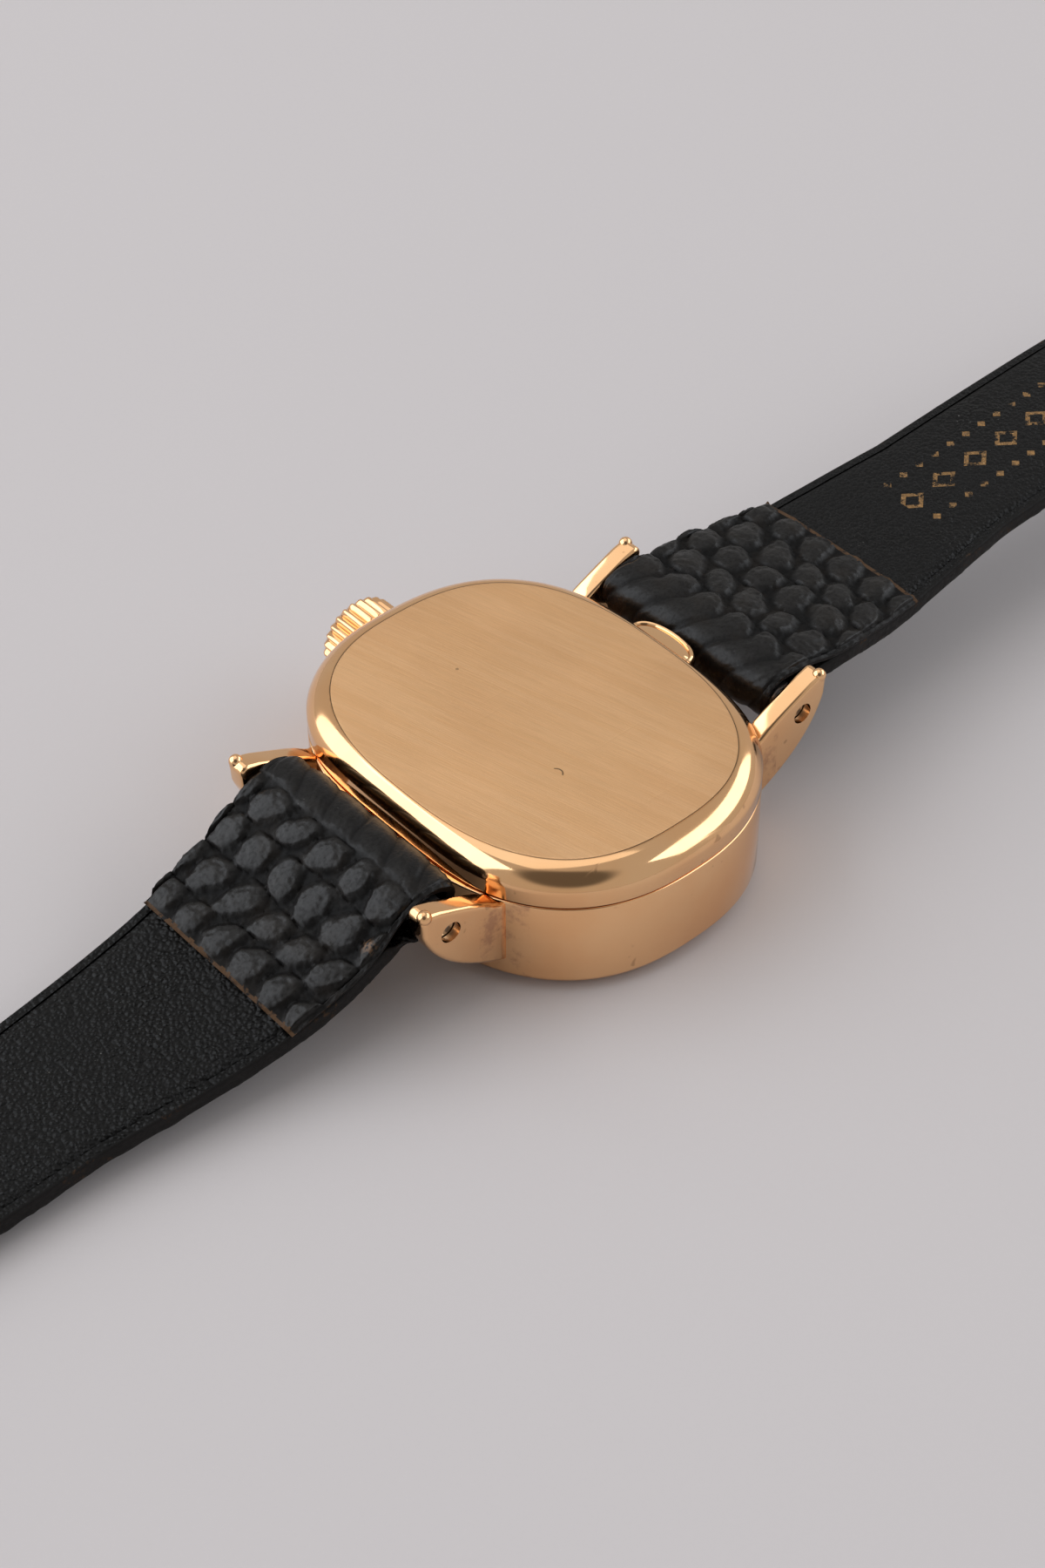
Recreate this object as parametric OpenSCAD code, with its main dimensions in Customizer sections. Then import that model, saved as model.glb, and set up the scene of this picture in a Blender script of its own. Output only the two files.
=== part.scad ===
// A small hand-wound cocktail watch on a lizard strap, lying on its face.
// Z = 0 is the flat outer face of the crystal, +Z is towards the press-fit back,
// +X is towards 12 o'clock and the buckle, +Y is towards the crown.

/* [Case] */
// Length of the case from 6 to 12 o'clock, without the lugs
case_len = 20.2; // [19.6:0.1:21.5]
// Width of the case from 9 to 3 o'clock, without the crown
case_wid = 24.6; // [23.6:0.1:26.5]
// Fullness of the oval outline, 2 is an ellipse and 3 is nearly a cushion
case_fullness = 2.42; // [2.2:0.02:2.8]
// Thickness of the case band's wall
band_wall = 1.0; // [0.8:0.05:1.2]
// Height of the case band from its lower edge to the seam under the back
band_h = 5.0; // [4.9:0.05:5.3]
// Height that the crystal and its bezel stand below the band
face_drop = 0.8; // [0.7:0.05:1.0]

/* [Press-fit back] */
// Height of the back above the seam
back_h = 2.2; // [1.9:0.05:2.6]
// Height of the upright skirt under the rounded shoulder
skirt_h = 0.8; // [0.5:0.05:1.0]
// Width of the polished shoulder beside the brushed face
shoulder_w = 1.28; // [1.0:0.02:1.5]
// Distance of the flat between the lugs from the middle of the case
flat_x = 9.15; // [9.0:0.05:9.4]
// Thickness of the sheet that the back is struck from
back_t = 0.6; // [0.4:0.05:0.7]
// Length of the half-moon opening lip
lip_len = 4.3; // [3:0.1:5]
// Distance that the lip stands out from the flat
lip_out = 1.1; // [0.8:0.05:1.15]

/* [Lugs] */
// Gap between the two lugs of a pair, which is the width of the strap
lug_gap = 13.0; // [12.6:0.1:13.6]
// Thickness of one lug
lug_t = 1.25; // [1.0:0.05:1.5]
// Distance of the spring bar from the middle of the case
bar_x = 12.07; // [12:0.01:12.4]
// Height of the spring bar above the seam
bar_rise = 0.25; // [0.1:0.05:0.4]
// Diameter of the drilled lug hole
lug_hole_d = 1.2; // [1.0:0.05:1.3]
// Distance that the lug tip reaches past the spring bar
lug_reach = 1.8; // [1.6:0.05:2.0]

/* [Crystal and dial] */
// Distance from the case outline to the crystal
crystal_inset = 2.0; // [1.8:0.05:2.2]
// Thickness of the crystal over the dial
crystal_t = 0.75; // [0.6:0.05:0.8]
// Height of the dial's lower face above the table
dial_z = 2.1; // [2.1:0.05:2.15]
// Thickness of the dial
dial_t = 0.4; // [0.35:0.05:0.4]
// Length of the applied hour batons
baton_len = 1.5; // [1:0.1:2]
// Width of the applied hour batons
baton_w = 0.35; // [0.2:0.05:0.5]

/* [Crown] */
// Diameter over the crown's ribs
crown_d = 4.5; // [4:0.1:5]
// Length of the crown
crown_len = 2.3; // [2:0.1:2.6]
// Gap between the pushed-in crown and the case
crown_gap = 0.3; // [0.25:0.05:0.5]
// Number of ribs
crown_ribs = 26; // [18:1:32]
// Height of the winding stem above the table
stem_z = 4.2; // [4.15:0.01:4.25]
// Diameter of the winding stem
stem_d = 0.9; // [0.8:0.05:1.0]
// Distance that the crown pulls out to set the hands
pull_travel = 0.8; // [0.6:0.1:1.0]

/* [Movement] */
// Diameter of the main plate
plate_d = 15.2; // [15.2:0.05:15.4]
// Thickness of the main plate
plate_t = 0.8; // [0.7:0.05:0.85]
// Thickness of the bridges
bridge_t = 0.4; // [0.35:0.05:0.45]
// Thickness of a train wheel
wheel_t = 0.15; // [0.1:0.01:0.16]
// Tooth size of the barrel and centre pinion, as pitch diameter over teeth
barrel_module = 0.1; // [0.098:0.001:0.1]
// Tooth size of the centre wheel
centre_module = 0.09; // [0.088:0.001:0.09]
// Tooth size of the third wheel
third_module = 0.075; // [0.073:0.001:0.075]
// Tooth size of the fourth wheel
fourth_module = 0.07; // [0.068:0.001:0.07]
// Tooth size of the winding wheels
winding_module = 0.12; // [0.118:0.001:0.12]
// Diameter of the pivots
pivot_d = 0.3; // [0.24:0.02:0.32]
// Running clearance on the radius of every pivot and sleeve
run_gap = 0.04; // [0.03:0.01:0.06]
// Outer diameter of the balance wheel
balance_d = 4.4; // [4:0.1:4.4]
// Turns of the hairspring
hair_turns = 6; // [4:1:8]
// Turns of the mainspring
main_turns = 5; // [4:1:6]

/* [Hands] */
// Length of the minute hand
minute_len = 6.0; // [5:0.1:6.4]
// Length of the hour hand
hour_len = 4.1; // [3.5:0.1:4.6]
// Angle of the minute hand at rest, clockwise from 12
minute_angle = 60; // [0:6:354]
// Angle of the hour hand at rest, clockwise from 12
hour_angle = 305; // [0:1:359]

/* [Strap] */
// Thickness of the lizard leather
leather_t = 0.5; // [0.4:0.05:0.6]
// Thickness of the padding between leather and lining
core_t = 0.3; // [0.2:0.05:0.5]
// Thickness of the smooth lining
lining_t = 0.5; // [0.4:0.05:0.6]
// Width of the strap past its taper
strap_end_w = 10.0; // [9:0.1:10.6]
// Side gap between the strap and each lug
strap_side_gap = 0.15; // [0.1:0.05:0.3]
// Diameter of the spring bar tube
bar_tube_d = 1.8; // [1.6:0.05:1.9]
// Thickness of the leather where it loops round the spring bar
loop_t = 0.7; // [0.6:0.05:0.72]
// Distance along the strap at which the folded flap ends, lower strap
lower_flap_x = 21; // [20:0.5:24]
// Distance along the strap at which the folded flap ends, upper strap
upper_flap_x = 23; // [21:0.5:26]
// Place of the pointed end of the lower strap
tail_x = 117; // [112:1:120]
// Number of buckle holes
hole_count = 7; // [3:1:8]
// Distance between buckle holes
hole_pitch = 6; // [5:0.5:6]
// Diameter of a buckle hole
hole_d = 1.5; // [1.2:0.1:1.8]

/* [Buckle] */
// Place of the buckle bar along the strap
buckle_x = 78; // [77:0.5:79]
// Height of the buckle bar above the table
buckle_z = 1.2; // [1.18:0.01:1.25]
// Diameter of the buckle bar
buckle_bar_d = 1.0; // [0.9:0.05:1.1]
// Length of the buckle frame past its bar
buckle_len = 7.2; // [7:0.1:8]
// Thickness of the buckle frame
buckle_t = 1.5; // [1.3:0.05:1.7]
// Width of the metal round the buckle's opening
buckle_rim = 1.2; // [1:0.1:1.4]
// Side gap between the strap and the buckle frame
buckle_side_gap = 0.35; // [0.3:0.05:0.5]
// Thickness of the keeper leather
keeper_t = 0.6; // [0.5:0.05:0.7]
// Length of a keeper along the strap
keeper_w = 3.2; // [2.8:0.1:4]
// Height of the free gap in a keeper for the tail
keeper_room = 1.6; // [1.5:0.05:1.8]

/* [Hidden] */

gold = "#d9a766";
steel = "#c9ccd0";
brass = "#cfae62";
nickel = "#c6c3b8";
ruby = "#b3204a";
blued = "#26345c";
black_leather = "#1b1b1e";
black_lining = "#232326";
raw_core = "#5a3d28";

outline_points = 72;
round_fn = 40;
small_fn = 20;

// Heights, all measured up from the table
band_z = face_drop;
seam_z = band_z + band_h;
back_z = seam_z + back_h;
bar_z = seam_z + bar_rise;
plate_z = dial_z + dial_t + 0.6;
plate_top = plate_z + plate_t;
bridge_z = plate_top + 1.15;
bridge_top = bridge_z + bridge_t;
motion_low = dial_z + dial_t + 0.06;
motion_high = plate_z - 0.3;
motion_t = 0.2;

// Half sizes of the case outline
case_a = case_len / 2;
case_b = case_wid / 2;
plate_r = plate_d / 2;
lug_in = lug_gap / 2;
lug_out = lug_in + lug_t;
lug_root = case_a - 1.7;
// Clearance, depth and wall of the back's rim that presses into the case
rim_gap = 0.04;
rim_h = 0.7;
rim_t = 0.5;
// Depth that two shapes of one piece run into each other
weld = 0.02;
ring_h = 2.0;
// Width of the bezel's ledge over the edge of the dial, and where the crystal ends
bezel_ledge = 0.4;
crystal_seat = band_z + 0.7;
dial_gap = 0.3;
dial_foot_at = 6.5;

// Crown, its tube and the stem
tube_out_r = 0.75;
tube_in_r = stem_d / 2 + run_gap;
pinion_y = 5.1;
pinion_face = 0.5;
// The stem reaches past the pinion by the pull, so it stays in it
stem_in = pinion_y + 0.35 - pull_travel;
// Depth of the stem in the crown
stem_seat = 1.0;
keyway_w = 3.1;

// Tongue of the buckle, and the side gap of its notch
tongue_w = 1.1;
tongue_t = 0.7;
notch_gap = 0.25;

// Train: [teeth of the wheel, teeth of its pinion]
barrel_teeth = 64;
centre_teeth = 64;
centre_leaves = 10;
third_teeth = 60;
third_leaves = 8;
fourth_teeth = 60;
fourth_leaves = 8;
escape_teeth = 15;
escape_leaves = 6;
crown_teeth = 24;
ratchet_teeth = 36;
cannon_leaves = 12;
minute_teeth = 36;
minute_leaves = 10;
hour_teeth = 40;
cannon_module = 0.075;
hour_module = cannon_module * (cannon_leaves + minute_teeth) / (minute_leaves + hour_teeth);

// Places of the arbors on the plate
function toward(from, angle, distance) =
    [from[0] + distance * cos(angle), from[1] + distance * sin(angle)];
function reach(module_size, teeth, leaves) = module_size * (teeth + leaves) / 2;
function heading(from, to) = atan2(to[1] - from[1], to[0] - from[0]);
centre_at = [0, 0];
barrel_angle = 35.3;
third_angle = -50;
fourth_angle = 203;
escape_angle = 165;
pallet_angle = 150;
barrel_at = toward(centre_at, barrel_angle, reach(barrel_module, barrel_teeth, centre_leaves));
third_at = toward(centre_at, third_angle, reach(centre_module, centre_teeth, third_leaves));
fourth_at = toward(third_at, fourth_angle, reach(third_module, third_teeth, fourth_leaves));
escape_at = toward(fourth_at, escape_angle, reach(fourth_module, fourth_teeth, escape_leaves));
escape_r = 1.2;
pallet_at = toward(escape_at, pallet_angle, 1.35);
balance_at = toward(pallet_at, pallet_angle, 1.75);
winding_reach = winding_module * (crown_teeth + ratchet_teeth) / 2;
crown_wheel_at = [0, barrel_at[1] + sqrt(pow(winding_reach, 2) - pow(barrel_at[0], 2))];
minute_way = 250;
minute_at = toward(centre_at, minute_way, reach(cannon_module, minute_teeth, cannon_leaves));
minute_post_r = 0.15;
click_at = toward(barrel_at, -55, 3.0);
// Turn of the click that lays its nose just clear of the ratchet's teeth
click_turn = 68;

// Heights of the train, above the top of the plate
barrel_low = plate_z + 0.2;
barrel_high = plate_top + 0.4;
barrel_gear_t = 0.25;
centre_low = plate_top + 0.85;
third_low = plate_top + 0.5;
fourth_low = plate_top + 0.1;
escape_low = plate_top + 0.5;
balance_low = plate_top + 1.05;
balance_t = 0.25;
hair_low = balance_low + balance_t + 0.08;
cock_z = hair_low + 0.35;
cock_top = cock_z + bridge_t;
drum_r = 3.0;

// Hands lie between the crystal and the dial
minute_hand_z = crystal_t + 0.35;
hour_hand_z = minute_hand_z + 0.4;
hand_t = 0.14;
cannon_tube_r = 0.4;
hour_tube_r = 0.64;
centre_arbor_r = 0.2;

// Strap routes, chosen by hand: [distance from the middle of the case, height]
upper_route = [[13.5, 6.1], [17, 6.35], [21, 5.98], [24.5, 6.25], [28.5, 6.65], [33, 7.0],
    [40, 7.45], [47, 7.7], [53, 7.15], [57, 6.275], [63, 4.825], [69, 3.375],
    [75, 1.925], [78, 1.2]];
lower_route = [[13.5, 5.6], [17, 4.15], [19, 3.35], [21.5, 2.7], [25, 2.2], [29, 1.85],
    [36, 1.4], [46, 0.92], [56, 0.68], [66, 0.65], [82, 0.65], [100, 0.65], [117, 0.65]];
slope_angle = atan((upper_route[9][1] - upper_route[13][1])
    / (upper_route[13][0] - upper_route[9][0]));
half_stack = (leather_t + core_t + lining_t) / 2;
loop_gap = 0.05;
tube_r = bar_tube_d / 2;
tip_body_r = tube_r - 0.25;
tip_shoulder = lug_in - 0.15;
tip_end = lug_in - 1.75;
tip_travel = 0.9;
loop_in = tube_r + loop_gap;
loop_out = loop_in + loop_t;
flap_t = leather_t + 0.05;
buckle_loop_in = buckle_bar_d / 2 + loop_gap;
buckle_loop_out = buckle_loop_in + leather_t;
// Place where the two ends of the leather part to go round the bar
split_x = 17.5;
return_flap = 13;
fixed_keeper_x = buckle_x - 8.5;
sliding_keeper_x = fixed_keeper_x - 6;
// Outline and core stand in from the edge of the leather
core_inset = 0.4;
lining_inset = 0.1;
strap_reach = 8;
taper_start = bar_x + 3;
taper_len = 10;
tail_len = 9;
first_hole = 18;

// Pillars that carry the bridges: [x, y, radius]
barrel_pillars = [[-2.4, 6.1, 0.7], [6.4, -1.5, 0.7]];
train_pillars = [[4.2, -5.2, 0.7], [-2.6, -6.0, 0.7]];
cock_pillar = [-4.9, 4.2, 1.0];
pallet_pillar = [-4.6, -4.3, 0.5];
jewel_r = 0.45;
boss_h = 0.35;
crown_boss_r = 0.4;
click_boss_r = 0.25;
barrel_boss_r = 0.6;
barrel_hub_r = 0.4;
square = 0.7;
winding_z = bridge_top + 0.02;
winding_t = 0.28;
pallet_bridge_z = escape_low + 0.28;
pallet_bridge_t = 0.18;
screw_h = 0.25;

// Outline of an oval with half sizes a and b
function oval(a, b, n = case_fullness) = [for (i = [0 : outline_points - 1])
    let (t = 360 * i / outline_points, c = cos(t), s = sin(t),
        r = pow(pow(abs(c) / a, n) + pow(abs(s) / b, n), -1 / n)) [r * c, r * s]];

// The case outline drawn in by a distance
function case_oval(inset) = oval(case_a - inset, case_b - inset);

// Outline with its sides cut straight at x = limit
function clipped(points, limit) = [for (p = points)
    abs(p[0]) > limit ? p * (limit / abs(p[0])) : p];

// A point that goes from p to q as t goes from 0 to 1
function between(p, q, t) = p + (q - p) * t;

// Points of a quadratic curve
function bend(p, q, r, steps) = [for (i = [0 : steps]) let (t = i / steps)
    between(between(p, q, t), between(q, r, t), t)];

// Points of an arc, with angles in degrees
function arc(centre, r, from, to, steps) = [for (i = [0 : steps])
    let (t = from + (to - from) * i / steps) [centre[0] + r * cos(t), centre[1] + r * sin(t)]];

// A smooth curve through points
function route_at(points, i) = points[max(0, min(len(points) - 1, i))];
function smooth_point(a, b, c, d, t) = 0.5 * ((2 * b) + (c - a) * t
    + (2 * a - 5 * b + 4 * c - d) * t * t + (3 * b - a - 3 * c + d) * t * t * t);
function smooth(points, steps) = concat([for (i = [0 : len(points) - 2], j = [0 : steps - 1])
    smooth_point(route_at(points, i - 1), points[i], points[i + 1],
        route_at(points, i + 2), j / steps)], [points[len(points) - 1]]);

// A route moved sideways by a distance, up is positive
function beside(path, distance) = [for (i = [0 : len(path) - 1])
    let (d = route_at(path, i + 1) - route_at(path, i - 1))
    path[i] + distance * [-d[1], d[0]] / norm(d)];
function part_of(path, from, to) = concat([[from, lookup(from, path)]],
    [for (p = path) if (p[0] > from + 0.1 && p[0] < to - 0.1) p], [[to, lookup(to, path)]]);
function reversed(list) = [for (i = [len(list) - 1 : -1 : 0]) list[i]];
function mirrored(list) = [for (p = list) [-p[0], p[1]]];

// Outline of a toothed wheel with a tooth on the x axis
function gear(teeth, m) = [for (i = [0 : teeth - 1], k = [0 : 3])
    let (side = k < 2 ? -1 : 1, tip = k == 1 || k == 2,
        r = m * (teeth / 2 + (tip ? 0.85 : -1.1)),
        a = (i + side * (tip ? 0.13 : 0.32)) * 360 / teeth) [r * cos(a), r * sin(a)]];

// Turn that lays a gap between teeth along a heading
function gap_to(angle, teeth) = angle + 180 / teeth;

module prism(points, low, high) {
    translate([0, 0, low]) linear_extrude(high - low) polygon(points);
}

module disc(r, low, high, at = [0, 0], fn = round_fn) {
    translate([at[0], at[1], low]) cylinder(h = high - low, r = r, $fn = fn);
}

// A profile drawn in x and z, drawn out along y
module along_y(points, from, to) {
    rotate([90, 0, 0]) translate([0, 0, -to]) linear_extrude(to - from) polygon(points);
}

// A rod along y
module rod_y(x, z, r, from, to, fn = round_fn) {
    translate([x, from, z]) rotate([-90, 0, 0]) cylinder(h = to - from, r = r, $fn = fn);
}

// A closed shell through rings of points that rise from the first to the last
module loft(rings) {
    n = len(rings[0]);
    last = len(rings) - 1;
    points = concat([for (ring = rings, p = ring) p], [middle(rings[0]), middle(rings[last])]);
    low_mid = (last + 1) * n;
    faces = [for (k = [0 : last], i = [0 : n - 1])
        let (j = (i + 1) % n, low = k * n, high = low + n)
        each k == last ? [[i, j, low_mid], [low + j, low + i, low_mid + 1]] : skin(low, high, i, j)];
    polyhedron(points, faces);
}
function skin(low, high, i, j) = [[low + i, high + i, high + j], [low + i, high + j, low + j]];

// A hoop: its rings of points rise outside and come down again inside
module hoop(rings) {
    n = len(rings[0]);
    count = len(rings);
    polyhedron([for (ring = rings, p = ring) p], [for (k = [0 : count - 1], i = [0 : n - 1])
        each skin(k * n, (k + 1) % count * n, i, (i + 1) % n)]);
}

// Rings of the case outline, each given as [distance drawn in, height]
function case_rings(profile) = [for (p = profile) lifted(case_oval(p[0]), p[1])];
function mean_of(values) = (min(values) + max(values)) / 2;
function middle(ring) = [for (axis = [0 : 2]) mean_of([for (p = ring) p[axis]])];
function lifted(points, z) = [for (p = points) [p[0], p[1], z]];

// A spoked or solid wheel with a pinion, both on one arbor
module arbor(at, low, high, r) {
    pivot = pivot_d / 2;
    disc(r, low, high, at, small_fn);
    disc(pivot, plate_top - 0.35, low + weld, at, small_fn);
    disc(pivot, high - weld, bridge_z + bridge_t - 0.1, at, small_fn);
}

module spoked(teeth, m, low, turn, spokes) {
    rim = m * (teeth / 2 - 1.1) - 0.3;
    hub = 0.55;
    rotate([0, 0, turn]) difference() {
        prism(gear(teeth, m), low, low + wheel_t);
        for (i = [0 : spokes - 1])
            rotate([0, 0, (i + 0.5) * 360 / spokes])
                prism(concat(arc([0, 0], rim, -150 / spokes, 150 / spokes, 6),
                    arc([0, 0], hub, 110 / spokes, -110 / spokes, 2)),
                    low - 0.1, low + wheel_t + 0.1);
    }
}

module pinion(teeth, m, low, high, turn) {
    rotate([0, 0, turn]) prism(gear(teeth, m), low, high);
}

// Lug of the upper, crown-side corner
module lug() {
    tip = [bar_x + lug_reach, bar_z + 1.15];
    nose_r = 0.42;
    nose = [tip[0] - nose_r, tip[1] + 0.22];
    under = bend([lug_root, band_z + 0.8], [bar_x + 1.13, band_z + 2.8], tip, 10);
    top = [[lug_root, seam_z - 0.03], [case_a - 0.85, seam_z - 0.03],
        [case_a + 0.1, seam_z + 0.76], [case_a + 1.5, seam_z + 1.3],
        [nose[0] - 0.25, nose[1] + nose_r * 0.9]];
    outline = concat(under, arc(nose, nose_r, -20, 115, 6), reversed(top));
    along_y(outline, lug_in, lug_out);
}

module all_lugs() {
    for (end = [0, 1], side = [0, 1])
        mirror([end, 0, 0]) mirror([0, side, 0]) lug();
}

module case_middle() {
    color(gold) difference() {
        union() {
            prism(case_oval(0), band_z, seam_z);
            all_lugs();
        }
        prism(case_oval(band_wall), band_z - 1, seam_z + 1);
        for (end = [-1, 1])
            rod_y(end * bar_x, bar_z, lug_hole_d / 2, -case_b, case_b);
        rod_y(0, stem_z, tube_out_r, case_b - 2 * band_wall, case_b + 1);
    }
}

// Rounded rim under the band, with a rebate for the crystal and a ledge over the dial
module bezel() {
    low = band_z - 0.62;
    ledge = crystal_inset + bezel_ledge;
    color(gold) hoop(case_rings([[1.35, low], [0.95, low + 0.06], [0.55, low + 0.22],
        [0.25, low + 0.44], [0.1, band_z], [band_wall, band_z], [band_wall, dial_z],
        [ledge, dial_z], [ledge, crystal_seat], [crystal_inset, crystal_seat],
        [crystal_inset, low]]));
}

// Shallow cup: the flat face with its rounded edge, then the inside of the wall
module crystal() {
    inside = crystal_inset + 0.45;
    color([0.85, 0.9, 0.92, 0.35]) loft(case_rings([[crystal_inset + 0.55, 0],
        [crystal_inset + 0.3, 0.06], [crystal_inset + 0.1, 0.2], [crystal_inset, 0.45],
        [crystal_inset, crystal_seat], [inside, crystal_seat], [inside, crystal_t]]));
}

module dial() {
    foot_r = 0.35;
    hole_r = hour_tube_r + 0.1;
    color("#efe9dc") union() {
        difference() {
            prism(case_oval(band_wall + dial_gap), dial_z, dial_z + dial_t);
            disc(hole_r, dial_z - 1, dial_z + 1);
        }
        for (angle = [20, 200])
            disc(foot_r, dial_z + dial_t - weld, plate_z,
                toward(centre_at, angle, dial_foot_at), small_fn);
    }
}

module hour_batons() {
    height = 0.12;
    lip = crystal_inset + bezel_ledge;
    color(gold) for (hour = [0 : 11]) {
        c = cos(30 * hour);
        s = sin(30 * hour);
        edge = pow(pow(abs(c) / (case_a - lip), case_fullness)
            + pow(abs(s) / (case_b - lip), case_fullness), -1 / case_fullness);
        rotate([0, 0, 30 * hour])
            translate([edge - 0.5 - baton_len, -baton_w / 2, dial_z - height])
                cube([baton_len, baton_w, height]);
    }
}

module casing_ring() {
    low = dial_z + dial_t;
    color(brass) difference() {
        prism(case_oval(band_wall), low, low + ring_h);
        disc(plate_r, low - 1, low + ring_h + 1, [0, 0], 64);
        rod_y(0, stem_z, tube_out_r, plate_r - 1, case_b);
    }
}

module main_plate() {
    pivot = pivot_d / 2 + run_gap;
    color(nickel) union() {
        difference() {
            disc(plate_r, plate_z, plate_top, [0, 0], 64);
            disc(drum_r + 0.45, barrel_low - 0.08, plate_top + 1, barrel_at, 48);
            disc(centre_arbor_r + run_gap, plate_z - 1, plate_top + 1, centre_at, small_fn);
            for (at = [third_at, fourth_at, escape_at, pallet_at, balance_at])
                disc(pivot, plate_top - 0.45, plate_top + 1, at, small_fn);
            disc(pivot, plate_z - 1, plate_top, barrel_at, small_fn);
            keyway(stem_in - 0.1, plate_z - 1, plate_top + 1);
        }
        disc(minute_post_r, dial_z + dial_t + 0.05, plate_z + weld, minute_at, small_fn);
    }
}

// Slot that leaves room for the winding pinion
module keyway(from, low, high) {
    translate([-keyway_w / 2, from, low]) cube([keyway_w, 4, high - low]);
}

module pillars(list) {
    for (p = list) disc(p[2], plate_top, bridge_z + weld, [p[0], p[1]]);
}

module bridge_holes(list) {
    for (at = list) disc(jewel_r, bridge_z - 1, bridge_top + 1, at, small_fn);
}

module balance_room() {
    disc(balance_d / 2 + 0.3, bridge_z - 2, bridge_top + 1, balance_at, 48);
    disc(cock_pillar[2] + 0.2, bridge_z - 2, bridge_top + 1, cock_pillar, 32);
}

// Upper half: covers the barrel, the centre wheel and the winding wheels
module barrel_bridge() {
    edge = [[-4, 4], [-2.2, 0.4], [-0.9, -0.95], [0.6, -1.0], [3.2, -0.2], [7.6, -3.4],
        [8.5, 0], [8, 8], [0, 9], [-8, 8]];
    color(nickel) union() {
        difference() {
            intersection() {
                disc(plate_r - 0.1, bridge_z, bridge_top, [0, 0], 64);
                prism(edge, bridge_z - 1, bridge_top + 1);
            }
            balance_room();
            bridge_holes([centre_at]);
            disc(barrel_boss_r + run_gap, bridge_z - 1, bridge_top + 1, barrel_at, small_fn);
            keyway(pinion_y - 0.25, bridge_z - 1, bridge_top + 1);
        }
        pillars(barrel_pillars);
        disc(crown_boss_r, bridge_top - weld, bridge_top + boss_h, crown_wheel_at, small_fn);
        disc(click_boss_r, bridge_top - weld, bridge_top + boss_h, click_at, small_fn);
    }
}

// Lower half: covers the third, fourth and escape wheels
module train_bridge() {
    edge = [[7.4, -3.6], [3.1, -0.5], [0.6, -1.3], [-0.9, -1.25], [-2.6, -1.9], [-4.1, -3.4],
        [-4.9, -6], [0, -9], [8, -8]];
    color(nickel) union() {
        difference() {
            intersection() {
                disc(plate_r - 0.1, bridge_z, bridge_top, [0, 0], 64);
                prism(edge, bridge_z - 1, bridge_top + 1);
            }
            balance_room();
            bridge_holes([third_at, fourth_at, escape_at]);
        }
        pillars(train_pillars);
    }
}

module pallet_bridge() {
    low = pallet_bridge_z;
    high = low + pallet_bridge_t;
    color(nickel) difference() {
        union() {
            hull() {
                disc(0.4, low, high, pallet_at, 32);
                disc(pallet_pillar[2], low, high, pallet_pillar, 32);
            }
            disc(pallet_pillar[2] - weld, plate_top, low + weld, pallet_pillar);
        }
        disc(pivot_d / 2 + run_gap, low - 1, high + 1, pallet_at, small_fn);
    }
}

module balance_cock() {
    color(nickel) union() {
        difference() {
            hull() {
                disc(0.8, cock_z, cock_top, balance_at, 32);
                disc(cock_pillar[2], cock_z, cock_top, cock_pillar, 32);
            }
            disc(jewel_r, cock_z - 1, cock_top + 1, balance_at, small_fn);
        }
        disc(cock_pillar[2] - weld, plate_top, cock_z + weld, cock_pillar);
    }
}

// Pierced ruby bearings pressed into the bridges
module jewels() {
    module jewel(at, low, high) {
        difference() {
            disc(jewel_r, low, high, at, small_fn);
            disc(pivot_d / 2 + run_gap, low - 1, high + 1, at, small_fn);
        }
    }
    color(ruby) union() {
        for (at = [centre_at, third_at, fourth_at, escape_at]) jewel(at, bridge_z, bridge_top);
        jewel(balance_at, cock_z, cock_top);
    }
}

// Slotted screws that hold the bridges down
module bridge_screws() {
    slot = 0.12;
    module screw(at, low, r) {
        difference() {
            disc(r, low, low + screw_h, at, small_fn);
            translate([at[0] - r - 1, at[1] - slot / 2, low + screw_h / 2])
                cube([2 * r + 2, slot, screw_h]);
        }
    }
    color(blued) union() {
        for (p = concat(barrel_pillars, train_pillars)) screw(p, bridge_top, 0.5);
        screw(cock_pillar, cock_top, 0.6);
        screw(pallet_pillar, pallet_bridge_z + pallet_bridge_t, 0.3);
        screw(crown_wheel_at, bridge_top + boss_h, 0.6);
    }
}

module crown_tube() {
    color(gold) difference() {
        rod_y(0, stem_z, tube_out_r, case_b - band_wall - 0.3, case_b + 0.75);
        rod_y(0, stem_z, tube_in_r, case_b - 4, case_b + 4);
    }
}

// Hollow tube of a spring bar, with a bore at each end for its tips
module spring_bar_tube(end) {
    wall_at = lug_in - 0.35;
    color(steel) difference() {
        rod_y(end * bar_x, bar_z, tube_r, -wall_at, wall_at);
        for (side = [0, 1]) mirror([0, side, 0])
            rod_y(end * bar_x, bar_z, tip_body_r + run_gap, tip_end - tip_travel - 0.3,
                wall_at + 1, 32);
    }
}

module upper_spring_bar_tube() { spring_bar_tube(1); }
module lower_spring_bar_tube() { spring_bar_tube(-1); }

// Sprung tip of a spring bar, shouldered, with its pivot in the lug
module bar_tip(end, side) {
    pivot_r = lug_hole_d / 2 - 0.07;
    color(steel) mirror([0, side, 0]) union() {
        rod_y(end * bar_x, bar_z, tip_body_r, tip_end, tip_shoulder, 32);
        rod_y(end * bar_x, bar_z, pivot_r, tip_shoulder - weld, lug_in + 0.6 * lug_t, 32);
    }
}

module upper_bar_tip_crown_side() { bar_tip(1, 0); }
module upper_bar_tip_far_side() { bar_tip(1, 1); }
module lower_bar_tip_crown_side() { bar_tip(-1, 0); }
module lower_bar_tip_far_side() { bar_tip(-1, 1); }

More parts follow.
